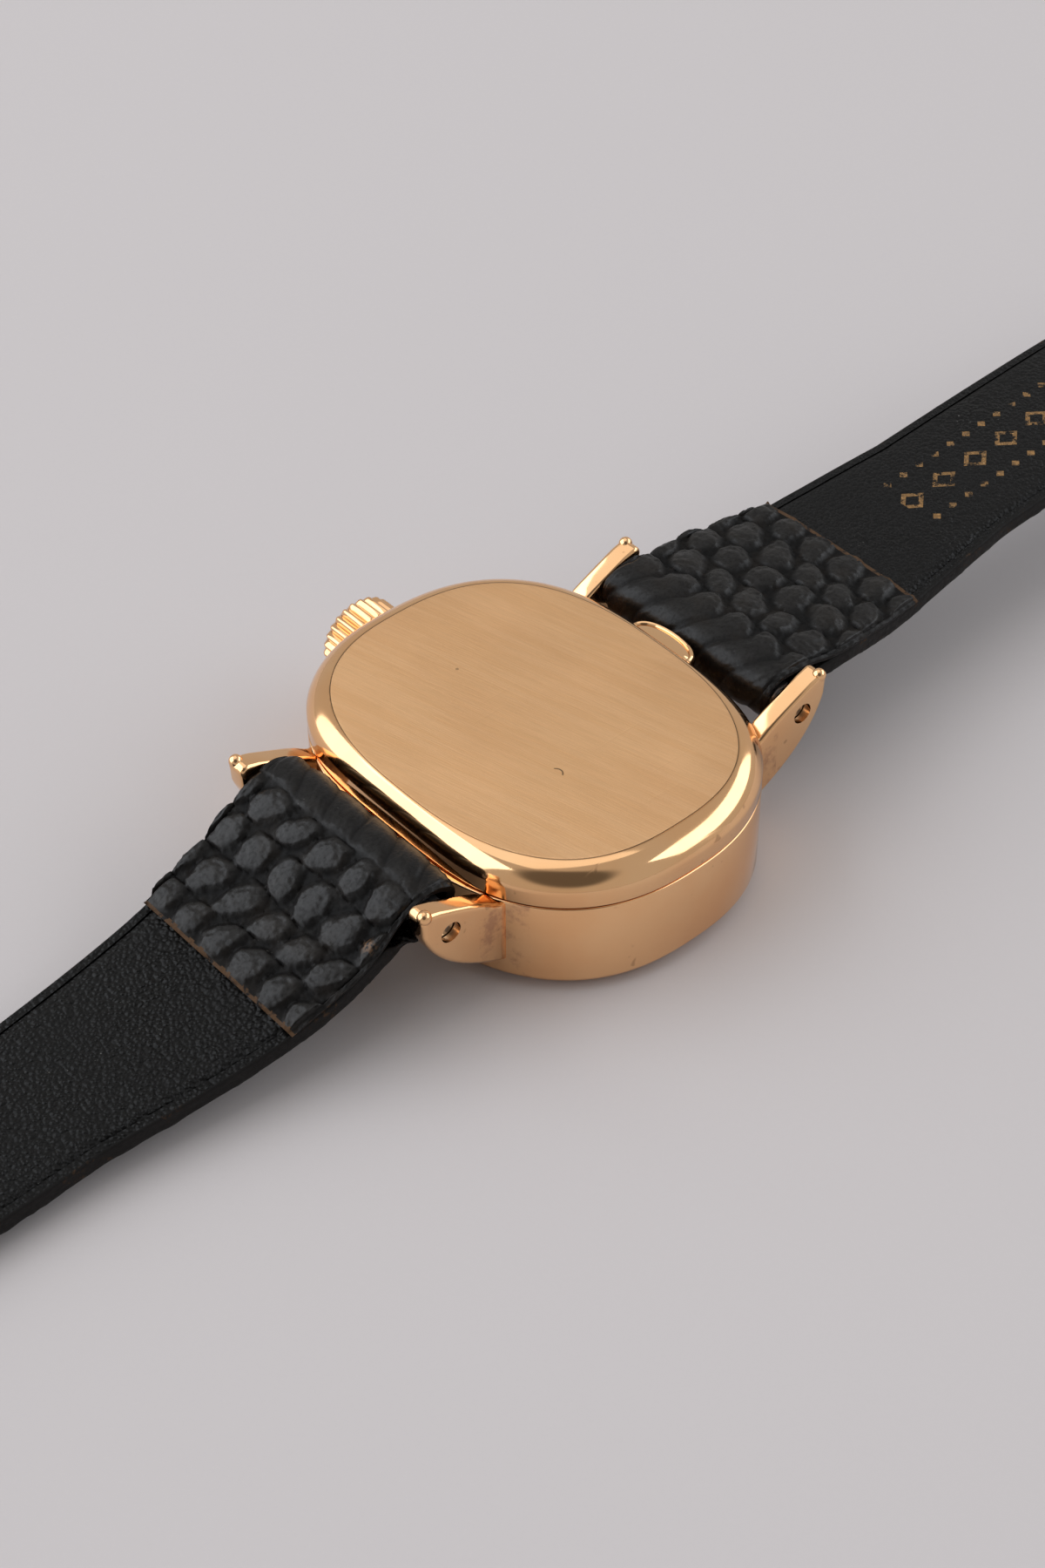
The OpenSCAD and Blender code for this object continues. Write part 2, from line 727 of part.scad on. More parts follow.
// Outlines of the back: skirt with its flats, and the brushed face
skirt_outline = clipped(case_oval(0), flat_x);
face_outline = oval(case_a - shoulder_w, case_b - shoulder_w, case_fullness + 0.15);

module case_back() {
    shoulder_z = seam_z + skirt_h;
    rise = back_h - skirt_h;
    steps = 7;
    last_angle = 82;
    rim_out = band_wall + rim_gap;
    rim_in = rim_out + rim_t;
    // Share of the way from the face's edge to the skirt's edge
    function spread(t) = (cos(t) - cos(last_angle)) / (1 - cos(last_angle));
    function shoulder_ring(t) = lifted([for (k = [0 : outline_points - 1])
        between(face_outline[k], skirt_outline[k], spread(t))],
        shoulder_z + rise * sin(t) / sin(last_angle));
    color(gold) union() {
        difference() {
            union() {
                loft(concat([lifted(skirt_outline, seam_z)],
                    [for (i = [0 : steps]) shoulder_ring(last_angle * i / steps)]));
                opening_lip();
            }
            prism(case_oval(rim_in), seam_z - 1, back_z - back_t);
        }
        difference() {
            prism(case_oval(rim_out), seam_z - rim_h, seam_z + 0.3);
            prism(case_oval(rim_in), seam_z - rim_h - 1, seam_z + 1);
        }
    }
}

// Half-moon lip that a case knife lifts, domed at its top
module opening_lip() {
    low = seam_z + 0.75;
    top = back_z - 0.2;
    half = lip_len / 2;
    moon = function (grow) [for (i = [0 : 16]) let (t = -90 + 180 * i / 16)
        [flat_x - 0.35 + (lip_out + 0.35 + grow) * pow(cos(t), 0.75), (half + grow) * sin(t)]];
    loft([lifted(moon(-0.1), low), lifted(moon(0), low + 0.12), lifted(moon(0), top - 0.4),
        lifted(moon(-0.12), top - 0.15), lifted(moon(-0.35), top)]);
}

// Winding pinion on the stem, its teeth level with the top of the bridge
module winding_pinion() {
    teeth = 12;
    m = (bridge_top - stem_z) / (teeth / 2 + 0.85);
    color(steel) difference() {
        union() {
            translate([0, pinion_y + pinion_face, stem_z]) rotate([90, 0, 0])
                prism(gear(teeth, m), 0, pinion_face);
            rod_y(0, stem_z, tube_out_r, pinion_y + pinion_face - 0.1, pinion_y + 1.3);
        }
        rod_y(0, stem_z, tube_in_r, pinion_y - 1, pinion_y + 3);
    }
}

module winding_stem() {
    color(steel) rod_y(0, stem_z, stem_d / 2, stem_in, case_b + crown_gap + stem_seat);
}

module crown() {
    r = crown_d / 2;
    low = case_b + crown_gap;
    dome = 0.25;
    groove = 0.2;
    color(gold) difference() {
        translate([0, low, stem_z]) rotate([-90, 0, 0]) rotate_extrude($fn = 64)
            polygon([[0, 0], [r - 0.2, 0], [r, 0.15], [r, crown_len - dome - 0.1],
                [r - 0.25, crown_len - dome], [r * 0.6, crown_len - 0.05], [0, crown_len]]);
        for (i = [0 : crown_ribs - 1])
            translate([0, low - 1, stem_z]) rotate([0, i * 360 / crown_ribs, 0])
                translate([r + 0.05, 0, 0]) rotate([-90, 0, 0])
                    cylinder(h = crown_len - dome + 0.85, r = groove, $fn = 14);
        rod_y(0, stem_z, tube_out_r + 0.25, low - 1, low + stem_seat - 0.05);
        rod_y(0, stem_z, stem_d / 2, low - 1, low + stem_seat);
    }
}

module crown_wheel() {
    color(steel) translate([crown_wheel_at[0], crown_wheel_at[1], 0]) difference() {
        rotate([0, 0, gap_to(heading(crown_wheel_at, barrel_at), crown_teeth)])
            prism(gear(crown_teeth, winding_module), winding_z, winding_z + winding_t);
        disc(crown_boss_r + run_gap, winding_z - 1, winding_z + 1, [0, 0], small_fn);
    }
}

module ratchet_wheel() {
    color(steel) translate([barrel_at[0], barrel_at[1], 0]) difference() {
        rotate([0, 0, heading(barrel_at, crown_wheel_at)])
            prism(gear(ratchet_teeth, winding_module), winding_z, winding_z + winding_t);
        translate([-square / 2, -square / 2, winding_z - 1]) cube([square, square, 2]);
    }
}

module barrel_arbor() {
    color(steel) translate([barrel_at[0], barrel_at[1], 0]) union() {
        translate([-square / 2, -square / 2, winding_z - weld])
            cube([square, square, winding_t + 0.06 + weld]);
        disc(barrel_boss_r, barrel_high + 0.05, winding_z, [0, 0], small_fn);
        disc(pivot_d / 2, plate_z + 0.02, barrel_low + weld, [0, 0], small_fn);
        disc(barrel_hub_r, barrel_low, barrel_high + 0.05 + weld, [0, 0], small_fn);
    }
}

// Toothed drum with its lid, bored to run on the arbor
module mainspring_barrel() {
    wall = 0.2;
    color(brass) translate([barrel_at[0], barrel_at[1], 0]) difference() {
        union() {
            disc(drum_r, barrel_low, barrel_high, [0, 0], 48);
            rotate([0, 0, heading(barrel_at, centre_at)])
                prism(gear(barrel_teeth, barrel_module), barrel_high - barrel_gear_t, barrel_high);
        }
        disc(drum_r - wall, barrel_low + wall, barrel_high - wall, [0, 0], 48);
        disc(barrel_hub_r + run_gap, barrel_low - 1, barrel_high + 1, [0, 0], small_fn);
    }
}

// Flat spiral band: radius grows evenly with the turn
function spiral(r_in, r_out, turns, steps) = [for (i = [0 : turns * steps])
    let (t = i / (turns * steps), a = 360 * i / steps, r = r_in + (r_out - r_in) * t)
    [r * cos(a), r * sin(a)]];
module spiral_band(r_in, r_out, turns, steps, width, low, high) {
    prism(concat(spiral(r_in, r_out, turns, steps),
        reversed(spiral(r_in + width, r_out + width, turns, steps))), low, high);
}

module mainspring() {
    color(steel) translate([barrel_at[0], barrel_at[1], 0])
        spiral_band(barrel_hub_r + 0.1, drum_r - 0.45, main_turns, 18, 0.12,
            barrel_low + 0.3, barrel_high - 0.3);
}

module centre_wheel() {
    low = centre_low;
    color(brass) union() {
        spoked(centre_teeth, centre_module, low, third_angle, 5);
        pinion(centre_leaves, barrel_module, plate_top + 0.1, low + weld,
            gap_to(barrel_angle, centre_leaves));
        disc(0.3, low, bridge_z - 0.03, centre_at, small_fn);
        disc(pivot_d / 2, bridge_z - 0.05, bridge_top - 0.05, centre_at, small_fn);
        disc(centre_arbor_r, minute_hand_z + 0.02, plate_top + 0.2, centre_at, small_fn);
    }
}

module third_wheel() {
    color(brass) union() {
        arbor(third_at, plate_top + 0.05, bridge_z - 0.03, 0.18);
        translate([third_at[0], third_at[1], 0]) {
            spoked(third_teeth, third_module, third_low, fourth_angle, 5);
            pinion(third_leaves, centre_module, third_low + wheel_t, bridge_z - 0.05,
                gap_to(third_angle + 180, third_leaves));
        }
    }
}

module fourth_wheel() {
    color(brass) union() {
        arbor(fourth_at, plate_top + 0.05, bridge_z - 0.03, 0.16);
        translate([fourth_at[0], fourth_at[1], 0]) {
            spoked(fourth_teeth, fourth_module, fourth_low, escape_angle, 4);
            pinion(fourth_leaves, third_module, fourth_low + wheel_t, third_low + wheel_t + 0.15,
                gap_to(fourth_angle + 180, fourth_leaves));
        }
    }
}

// Club-toothed escape wheel
module escape_wheel() {
    root = escape_r - 0.3;
    rim = root - 0.15;
    outline = [for (i = [0 : escape_teeth - 1], k = [0 : 3])
        let (a = i * 360 / escape_teeth, step = [0, 9, 12, 13][k],
            r = [root, escape_r - 0.05, escape_r, root][k]) [r * cos(a + step), r * sin(a + step)]];
    color(steel) union() {
        arbor(escape_at, plate_top + 0.04, bridge_z - 0.03, 0.13);
        translate([escape_at[0], escape_at[1], 0]) {
            difference() {
                prism(outline, escape_low, escape_low + wheel_t);
                for (i = [0 : 3]) rotate([0, 0, 45 + 90 * i])
                    prism(concat(arc([0, 0], rim, -34, 34, 5), arc([0, 0], 0.32, 22, -22, 2)),
                        escape_low - 0.1, escape_low + wheel_t + 0.1);
            }
            pinion(escape_leaves, fourth_module, fourth_low - 0.03, fourth_low + wheel_t + 0.15,
                gap_to(escape_angle + 180, escape_leaves));
        }
    }
}

// Anchor with two ruby-faced arms and the fork that drives the balance
module pallet_fork() {
    low = escape_low;
    high = low + wheel_t;
    color(steel) union() {
        disc(0.1, plate_top - 0.35, high + 0.28, pallet_at, small_fn);
        translate([pallet_at[0], pallet_at[1], 0]) rotate([0, 0, pallet_angle]) union() {
            disc(0.26, low, high, [0, 0], small_fn);
            prism([[0.1, -0.09], [1.25, -0.07], [1.25, 0.07], [0.1, 0.09]], low, high);
            prism([[1.2, -0.2], [1.5, -0.2], [1.5, -0.08], [1.3, -0.06], [1.3, 0.06],
                [1.5, 0.08], [1.5, 0.2], [1.2, 0.2]], low, high);
            for (side = [-1, 1])
                prism([[0.05, side * 0.1], [-0.2, side * 0.95], [-0.62, side * 1.13],
                    [-0.52, side * 1.28], [-0.05, side * 1.15], [0.2, side * 0.1]], low, high);
        }
    }
}

// Balance rim, arms, timing screws, staff and roller
module balance_wheel() {
    r = balance_d / 2;
    rim = 0.32;
    screw_r = 0.16;
    color(brass) union() {
        translate([balance_at[0], balance_at[1], 0]) {
            difference() {
                disc(r - 2 * screw_r, balance_low, balance_low + balance_t, [0, 0], 64);
                disc(r - 2 * screw_r - rim, balance_low - 1, balance_low + 1, [0, 0], 64);
            }
            rotate([0, 0, 20]) translate([-(r - 0.5), -0.15, balance_low])
                cube([2 * (r - 0.5), 0.3, balance_t - 0.08]);
            for (i = [0 : 11]) rotate([0, 0, 15 + 30 * i])
                translate([r - 2 * screw_r - 0.05, 0, balance_low + balance_t / 2])
                    rotate([0, 90, 0]) cylinder(h = 2 * screw_r + 0.05, r = 0.1, $fn = 14);
        }
        disc(0.13, plate_top - 0.35, cock_top - 0.1, balance_at, small_fn);
        disc(0.2, balance_low - 0.1, hair_low + 0.2, balance_at, small_fn);
        disc(0.45, balance_low - 0.2, balance_low - 0.08, balance_at, small_fn);
        disc(0.06, escape_low + wheel_t + 0.05, balance_low - 0.1,
            toward(balance_at, pallet_angle + 180, 0.34), 14);
    }
}

module hairspring() {
    color(blued) translate([balance_at[0], balance_at[1], 0])
        spiral_band(0.24, 1.35, hair_turns, 18, 0.05, hair_low, hair_low + 0.16);
}

// Cannon pinion: leaves near the plate, tube down to the minute hand
module cannon_pinion() {
    bore = centre_arbor_r + run_gap;
    color(steel) difference() {
        union() {
            pinion(cannon_leaves, cannon_module, motion_high, motion_high + motion_t,
                gap_to(minute_way, cannon_leaves));
            disc(cannon_tube_r, minute_hand_z, motion_high + weld, centre_at, 32);
        }
        disc(bore, minute_hand_z - 1, plate_z, centre_at, small_fn);
    }
}

// Tapered hand with a counterweight ring that presses on its tube
module hand(length, width, low, tube_r, angle) {
    color(gold) rotate([0, 0, angle]) difference() {
        union() {
            disc(tube_r + 0.25, low, low + hand_t, [0, 0], 32);
            prism([[-1.1, -width * 0.35], [0, -width * 0.5], [length * 0.75, -width * 0.4],
                [length, -0.04], [length, 0.04], [length * 0.75, width * 0.4], [0, width * 0.5],
                [-1.1, width * 0.35]], low, low + hand_t);
        }
        disc(tube_r, low - 1, low + 1, [0, 0], 32);
    }
}

module minute_hand() { hand(minute_len, 0.5, minute_hand_z, cannon_tube_r, minute_angle); }
module hour_hand() { hand(hour_len, 0.6, hour_hand_z, hour_tube_r, hour_angle); }

module minute_wheel() {
    color(brass) translate([minute_at[0], minute_at[1], 0]) difference() {
        union() {
            rotate([0, 0, minute_way + 180])
                prism(gear(minute_teeth, cannon_module), motion_high, motion_high + motion_t);
            pinion(minute_leaves, hour_module, motion_low, motion_high + weld,
                gap_to(minute_way + 180, minute_leaves));
        }
        disc(minute_post_r + run_gap, motion_low - 1, plate_z, [0, 0], small_fn);
    }
}

module hour_wheel() {
    color(brass) difference() {
        union() {
            rotate([0, 0, minute_way])
                prism(gear(hour_teeth, hour_module), motion_low, motion_low + 0.18);
            disc(hour_tube_r, hour_hand_z, motion_low + 0.1, centre_at, 32);
        }
        disc(cannon_tube_r + run_gap, hour_hand_z - 1, motion_low + 1, centre_at, 32);
    }
}

// Pawl that keeps the ratchet wheel from running back
module click() {
    low = winding_z;
    high = low + 0.25;
    nose = [[0, -0.45], [0.5, -0.3], [0.78, 0.35], [0.55, 0.4], [0, 0.45]];
    color(steel) translate([click_at[0], click_at[1], 0]) difference() {
        union() {
            disc(2 * click_boss_r, low, high, [0, 0], 32);
            rotate([0, 0, click_turn]) prism(nose, low, high);
        }
        disc(click_boss_r + run_gap, low - 1, high + 1, [0, 0], small_fn);
    }
}

// Plan of a strap: full width at the lugs, then drawn in to its narrow part
function taper(x) = min(1, max(0, (x - taper_start) / taper_len));
function ease(t) = t * t * (3 - 2 * t);
function strap_half(x) = between(lug_in - strap_side_gap, strap_end_w / 2, ease(taper(x)));
function strap_xs(from) = [for (i = [0 : 14])
    between(from, taper_start + taper_len + 1, i / 14)];
function strap_side(from, inset) = [for (x = strap_xs(from)) [x, strap_half(x) - inset]];
function flipped(list) = [for (p = reversed(list)) [p[0], -p[1]]];
function strap_plan(from, to, inset) =
    let (side = concat(strap_side(from, inset), [[to, strap_end_w / 2 - inset]]))
    concat(side, flipped(side));

module cut_to_plan(plan) {
    intersection() {
        children();
        translate([0, 0, -5]) linear_extrude(30) polygon(plan);
    }
}

upper_path = smooth(upper_route, 4);
lower_path = smooth(lower_route, 4);
bar_at = [bar_x, bar_z];
buckle_at = [buckle_x, buckle_z];

// Arc of leather round the spring bar, seen from the crown side
function bar_loop(r) = arc(bar_at, r, -100, -275, 14);

// Layers of the strap as outlines in x and z
function layer(path, low, high, from, to) =
    concat(part_of(beside(path, low), from, to), reversed(part_of(beside(path, high), from, to)));

function flap(path, low, flap_end) = part_of(beside(path, low), split_x - 0.6, flap_end);

// Leather of the upper strap: folded round both bars
function upper_leather_outline() = let (low = -half_stack, inner = leather_t - half_stack,
        back = buckle_x - 2.4, tilt = slope_angle)
    concat(flap(upper_path, half_stack + flap_t, upper_flap_x),
        reversed(flap(upper_path, half_stack, upper_flap_x)),
        reversed(bar_loop(loop_in - 0.06)),
        part_of(beside(upper_path, inner), split_x - 2, back),
        arc(buckle_at, buckle_loop_in - 0.04, -90 - tilt, 100 - tilt, 12),
        reversed(part_of(beside(upper_path, half_stack), buckle_x - return_flap, back)),
        part_of(beside(upper_path, half_stack + leather_t), buckle_x - return_flap, back - 0.4),
        arc(buckle_at, buckle_loop_out, 110 - tilt, -90 - tilt, 12),
        reversed(part_of(beside(upper_path, low), split_x - 3, back - 0.4)),
        bar_loop(loop_out));

module upper_strap_leather() {
    slot_w = 2.6;
    color(black_leather) difference() {
        cut_to_plan(strap_plan(10, buckle_x + 2, 0))
            along_y(upper_leather_outline(), -strap_reach, strap_reach);
        rod_y(bar_x, bar_z, loop_in, -strap_reach - 1, strap_reach + 1);
        rod_y(buckle_x, buckle_z, buckle_loop_in, -strap_reach - 1, strap_reach + 1);
        translate([buckle_x - 2.2, -slot_w / 2, buckle_z - 2.5]) cube([6, slot_w, 6]);
    }
}

module upper_strap_core() {
    low = leather_t - half_stack;
    color(raw_core) cut_to_plan(strap_plan(10, buckle_x, core_inset))
        along_y(layer(upper_path, low, low + core_t, split_x + 1, buckle_x - 3.5),
            -strap_reach, strap_reach);
}

module upper_strap_lining() {
    low = leather_t + core_t - half_stack;
    color(black_lining) cut_to_plan(strap_plan(10, buckle_x, lining_inset))
        along_y(layer(upper_path, low, half_stack, split_x, buckle_x - 3),
            -strap_reach, strap_reach);
}

function lower_leather_outline() = let (low = -half_stack, inner = leather_t - half_stack)
    concat(flap(lower_path, half_stack + flap_t, lower_flap_x),
        reversed(flap(lower_path, half_stack, lower_flap_x)),
        reversed(bar_loop(loop_in - 0.06)),
        part_of(beside(lower_path, inner), split_x - 2, tail_x),
        reversed(part_of(beside(lower_path, low), split_x - 3, tail_x)),
        bar_loop(loop_out));

// Plan of the tail, which ends in a soft point
function tail_side(inset) = let (w = strap_end_w / 2 - inset, start = tail_x - inset - tail_len)
    concat(strap_side(10, inset), [for (i = [0 : 7]) let (t = 90 * i / 8)
        [start + tail_len * sin(t), w * pow(cos(t), 0.9)]]);
function tail_plan(inset) =
    concat(tail_side(inset), [[tail_x - inset, 0]], flipped(tail_side(inset)));

module buckle_holes() {
    for (i = [0 : hole_count - 1])
        disc(hole_d / 2, -1, 4, [tail_x - first_hole - i * hole_pitch, 0], small_fn);
}

module lower_strap_leather() {
    color(black_leather) mirror([1, 0, 0]) difference() {
        cut_to_plan(tail_plan(0)) along_y(lower_leather_outline(), -strap_reach, strap_reach);
        rod_y(bar_x, bar_z, loop_in, -strap_reach - 1, strap_reach + 1);
        buckle_holes();
    }
}

module lower_strap_core() {
    low = leather_t - half_stack;
    color(raw_core) mirror([1, 0, 0]) difference() {
        cut_to_plan(tail_plan(core_inset))
            along_y(layer(lower_path, low, low + core_t, split_x + 1, tail_x - core_inset),
                -strap_reach, strap_reach);
        buckle_holes();
    }
}

module lower_strap_lining() {
    low = leather_t + core_t - half_stack;
    color(black_lining) mirror([1, 0, 0]) difference() {
        cut_to_plan(tail_plan(lining_inset))
            along_y(layer(lower_path, low, half_stack, split_x, tail_x - lining_inset),
                -strap_reach, strap_reach);
        buckle_holes();
    }
}

// Height of the straight run of the upper strap at x
function run_z(x) = buckle_z + (buckle_x - x) * tan(slope_angle);

// Leather band round the strap, with free room below for the tail
module keeper(x, fit) {
    strap_high = half_stack + leather_t + fit;
    low = -half_stack - keeper_room;
    half = strap_end_w / 2 + fit;
    color(black_leather) translate([x, 0, run_z(x)]) rotate([0, slope_angle, 0])
        difference() {
            translate([-keeper_w / 2, -half - keeper_t, low - keeper_t])
                cube([keeper_w, 2 * (half + keeper_t), strap_high - low + 2 * keeper_t]);
            translate([-keeper_w, -half, low]) cube([2 * keeper_w, 2 * half, strap_high - low]);
        }
}

module fixed_keeper() { keeper(fixed_keeper_x, 0.02); }
module sliding_keeper() { keeper(sliding_keeper_x, 0.3); }

// Buckle frame lies with its far bar on the table
frame_in = strap_end_w / 2 + buckle_side_gap;
frame_out = frame_in + buckle_rim;
buckle_tilt = asin((buckle_z - buckle_t / 2) / buckle_len);
module at_buckle() {
    translate([buckle_x, 0, buckle_z]) rotate([0, buckle_tilt, 0]) children();
}

module buckle_frame() {
    corner = 2.6;
    ear = buckle_bar_d / 2 + 0.45;
    far = buckle_len;
    plan = function (half, front, rear, r) concat([[rear, -half]],
        arc([front - r, r - half], r, -90, 0, 6), arc([front - r, half - r], r, 0, 90, 6),
        [[rear, half]]);
    color(gold) at_buckle() difference() {
        translate([0, 0, -buckle_t / 2]) linear_extrude(buckle_t) difference() {
            polygon(plan(frame_out, far, -ear, corner));
            polygon(plan(frame_in, far - buckle_rim, -ear - 1, corner - buckle_rim));
        }
        rod_y(0, 0, buckle_bar_d / 2, -frame_out - 1, frame_out + 1);
        translate([far - buckle_rim - 1, -tongue_w / 2 - notch_gap, -buckle_t])
            cube([4, tongue_w + 2 * notch_gap, buckle_t / 2 + tongue_t + 0.2]);
    }
}

module buckle_bar() {
    color(steel) at_buckle() rod_y(0, 0, buckle_bar_d / 2, -frame_out + 0.1, frame_out - 0.1);
}

// Tongue: an eye on the bar and a tapering pin that lies in the frame's notch
module buckle_tongue() {
    bore = buckle_bar_d / 2 + run_gap;
    eye = bore + 0.4;
    far = buckle_len - 0.25;
    low = -buckle_t / 2 + 0.02;
    color(gold) at_buckle() difference() {
        union() {
            rod_y(0, 0, eye, -tongue_w / 2, tongue_w / 2);
            along_y([[0, low + 0.05], [far - 1, low], [far, low + 0.1], [far, low + 0.45],
                [far - 1.2, low + tongue_t], [0.4, 0.45]], -tongue_w / 2, tongue_w / 2);
        }
        rod_y(0, 0, bore, -2, 2);
    }
}

case_middle();
bezel();
crystal();
dial();
hour_batons();
casing_ring();
main_plate();
barrel_bridge();
train_bridge();
pallet_bridge();
balance_cock();
jewels();
bridge_screws();
crown_tube();
upper_spring_bar_tube();
lower_spring_bar_tube();
case_back();
winding_pinion();
winding_stem();
crown();
crown_wheel();
ratchet_wheel();
barrel_arbor();
mainspring_barrel();
mainspring();
centre_wheel();
third_wheel();
fourth_wheel();
escape_wheel();
pallet_fork();
balance_wheel();
hairspring();
cannon_pinion();
minute_hand();
minute_wheel();
hour_wheel();
hour_hand();
click();
upper_bar_tip_crown_side();
upper_bar_tip_far_side();
lower_bar_tip_crown_side();
lower_bar_tip_far_side();
upper_strap_leather();
upper_strap_core();
upper_strap_lining();
fixed_keeper();
sliding_keeper();
buckle_frame();
buckle_bar();
buckle_tongue();
lower_strap_leather();
lower_strap_core();
lower_strap_lining();
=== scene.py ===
"""Looks of a small gold cocktail watch on a lizard strap, lying on its face."""

import math

import bmesh
import bpy
from bpy.props import FloatProperty, FloatVectorProperty, IntProperty, PointerProperty
from mathutils import Matrix, Vector, noise


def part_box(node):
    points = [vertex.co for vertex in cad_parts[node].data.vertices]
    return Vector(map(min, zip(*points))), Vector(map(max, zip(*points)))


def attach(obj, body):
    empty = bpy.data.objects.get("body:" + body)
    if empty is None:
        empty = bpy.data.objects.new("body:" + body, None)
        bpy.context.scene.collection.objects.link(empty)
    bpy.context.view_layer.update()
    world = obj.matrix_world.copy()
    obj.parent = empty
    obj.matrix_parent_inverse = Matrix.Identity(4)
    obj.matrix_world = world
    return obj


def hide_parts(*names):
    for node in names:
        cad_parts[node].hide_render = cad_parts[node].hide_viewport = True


bl_info = {
    "name": "Cocktail watch",
    "version": (1, 0, 0),
    "blender": (4, 5, 0),
    "location": "3D View > Sidebar > Watch",
    "description": "Builds the pieces and finishes of a small gold watch on a lizard strap",
    "category": "Add Mesh",
}

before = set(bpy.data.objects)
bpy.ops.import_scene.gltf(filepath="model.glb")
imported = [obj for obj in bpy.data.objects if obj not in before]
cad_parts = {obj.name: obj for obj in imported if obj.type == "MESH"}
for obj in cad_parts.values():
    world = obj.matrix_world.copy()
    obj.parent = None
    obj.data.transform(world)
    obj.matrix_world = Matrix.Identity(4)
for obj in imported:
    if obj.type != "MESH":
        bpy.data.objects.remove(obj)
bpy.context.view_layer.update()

# Sizes are in millimetres while a piece is shaped, and metres once it is finished
MM = 0.001

# Case: half length, half width and fullness of its outline, its heights, the back's shoulder and side flats
CASE_A, CASE_B, FULLNESS = 10.1, 12.3, 2.42
BAND_LOW, SEAM, BACK_TOP = 0.8, 5.8, 8.0
SHOULDER, SHOULDER_LOW, FLAT_X = 1.36, 6.85, 9.6

# Spring bar, lugs, the half-moon lip and the crown
BAR, BAR_HOLE_R = Vector((12.07, 6.05)), 0.6
LUG_IN, LUG_T = 6.5, 1.25
LIP_X, LIP_HALF, LIP_REACH = 8.8, 2.25, 1.5
CROWN_LOW, CROWN_R, STEM_Z, STEM_HOLE_R = 12.6, 2.45, 4.2, 0.75

# Strap: half thickness, the flap's and the leather's thickness, half width at the far end, the bend of the
# turned edge, and the share of the sheet that lies flat between its turned edges
HALF_STACK, FLAP_T, LEATHER_T, END_HALF = 0.65, 0.55, 0.5, 5.0
EDGE_R, FLAT_SHARE = 0.35, 0.82
HOLE_R, FIRST_HOLE, HOLE_STOP, HOLE_PITCH = 0.75, 63, 100, 6
FAR_AWAY = 1e6

# Lining and padding: their heights in the strap, where they start, and how far they stay from its sides
LINING, LINING_FROM, LINING_IN = (0.15, 0.6), 17.5, 0.74
PADDING, PADDING_FROM, PADDING_IN = (-0.15, 0.15), 18.5, 0.62

# Buckle: its bar, the slope of the strap there and the tilt of the frame
BUCKLE = Vector((78.0, 1.2))
SLOPE = math.radians(13.586)
FRAME_TILT = math.radians(3.583)

# Middle lines of the two strap halves, seen from the side
UPPER_ROUTE = [(13.5, 6.1), (17, 6.35), (21, 5.98), (24.5, 6.25), (28.5, 6.65), (33, 7.0),
               (40, 7.45), (47, 7.7), (53, 7.15), (57, 6.275), (63, 4.825), (69, 3.375),
               (75, 1.925), (78, 1.2)]
LOWER_ROUTE = [(13.5, 5.6), (17, 4.15), (19, 3.35), (21.5, 2.7), (25, 2.2), (29, 1.85),
               (36, 1.4), (46, 0.92), (56, 0.68), (66, 0.65), (82, 0.65), (100, 0.65),
               (117, 0.65)]

# Camera: turn, height and roll in degrees, focal length and height of the picture in its pixels, sensor in
# millimetres, and where it stands along its own axes, seen from a point above the crystal
CAMERA_ANGLES = (-41.067, 42.762, -0.331)
FOCAL, PICTURE_HEIGHT, SENSOR = 3304.995, 1800, 36
CAMERA_PLACE, CAMERA_AIM = (-0.523, 1.663, 152.991), (0, 0, 0.8)


# Curves and outlines

def mix(p, q, t):
    return p + (q - p) * t


def ease(t, low=0.0, high=1.0):
    t = min(1.0, max(0.0, (t - low) / (high - low)))
    return t * t * (3 - 2 * t)


def bulged(value, power):
    """A sine or cosine raised to a power with its sign kept, for rounded rectangles."""
    return math.copysign(abs(value) ** power, value)


def oval(turn, inset, fullness=FULLNESS):
    """A point of the case outline, drawn in by a distance."""
    a, b = CASE_A - inset, CASE_B - inset
    c, s = math.cos(turn), math.sin(turn)
    r = (abs(c / a) ** fullness + abs(s / b) ** fullness) ** (-1 / fullness)
    return r * c, r * s


def skirt(turn):
    """The back's outline, with its softly cut flats between the lugs."""
    x, y = oval(turn, 0)
    cut = (1 + (abs(x) / FLAT_X) ** 24) ** (-1 / 24)
    return x * cut, y * cut


def at_inset(inset, z):
    return lambda turn: (*oval(turn, inset), z)


def smooth_route(points, steps=12):
    """A smooth curve through points."""
    points = [Vector(p) for p in points]
    out = []
    for i in range(len(points) - 1):
        a, b, c, d = (points[max(0, min(len(points) - 1, i + k))] for k in (-1, 0, 1, 2))
        for j in range(steps):
            t = j / steps
            out.append(0.5 * (2 * b + (c - a) * t + (2 * a - 5 * b + 4 * c - d) * t * t
                              + (3 * b - a - 3 * c + d) * t ** 3))
    return out + [points[-1]]


def heading(line, i):
    """Unit direction of a line at its point i."""
    return (line[min(len(line) - 1, i + 1)] - line[max(0, i - 1)]).normalized()


def beside(line, distance):
    """A line moved sideways, upwards where the distance is positive."""
    out = []
    for i, p in enumerate(line):
        d = line[min(len(line) - 1, i + 1)] - line[max(0, i - 1)]
        out.append(p + Vector((-d.y, d.x)).normalized() * distance)
    return out


def part_of(line, low, high):
    return [p for p in line if low <= p.x <= high]


def arc(centre, r, start, stop, steps):
    """Points of an arc, its angles in degrees."""
    turns = [math.radians(mix(start, stop, i / steps)) for i in range(steps + 1)]
    return [centre + r * Vector((math.cos(t), math.sin(t))) for t in turns]


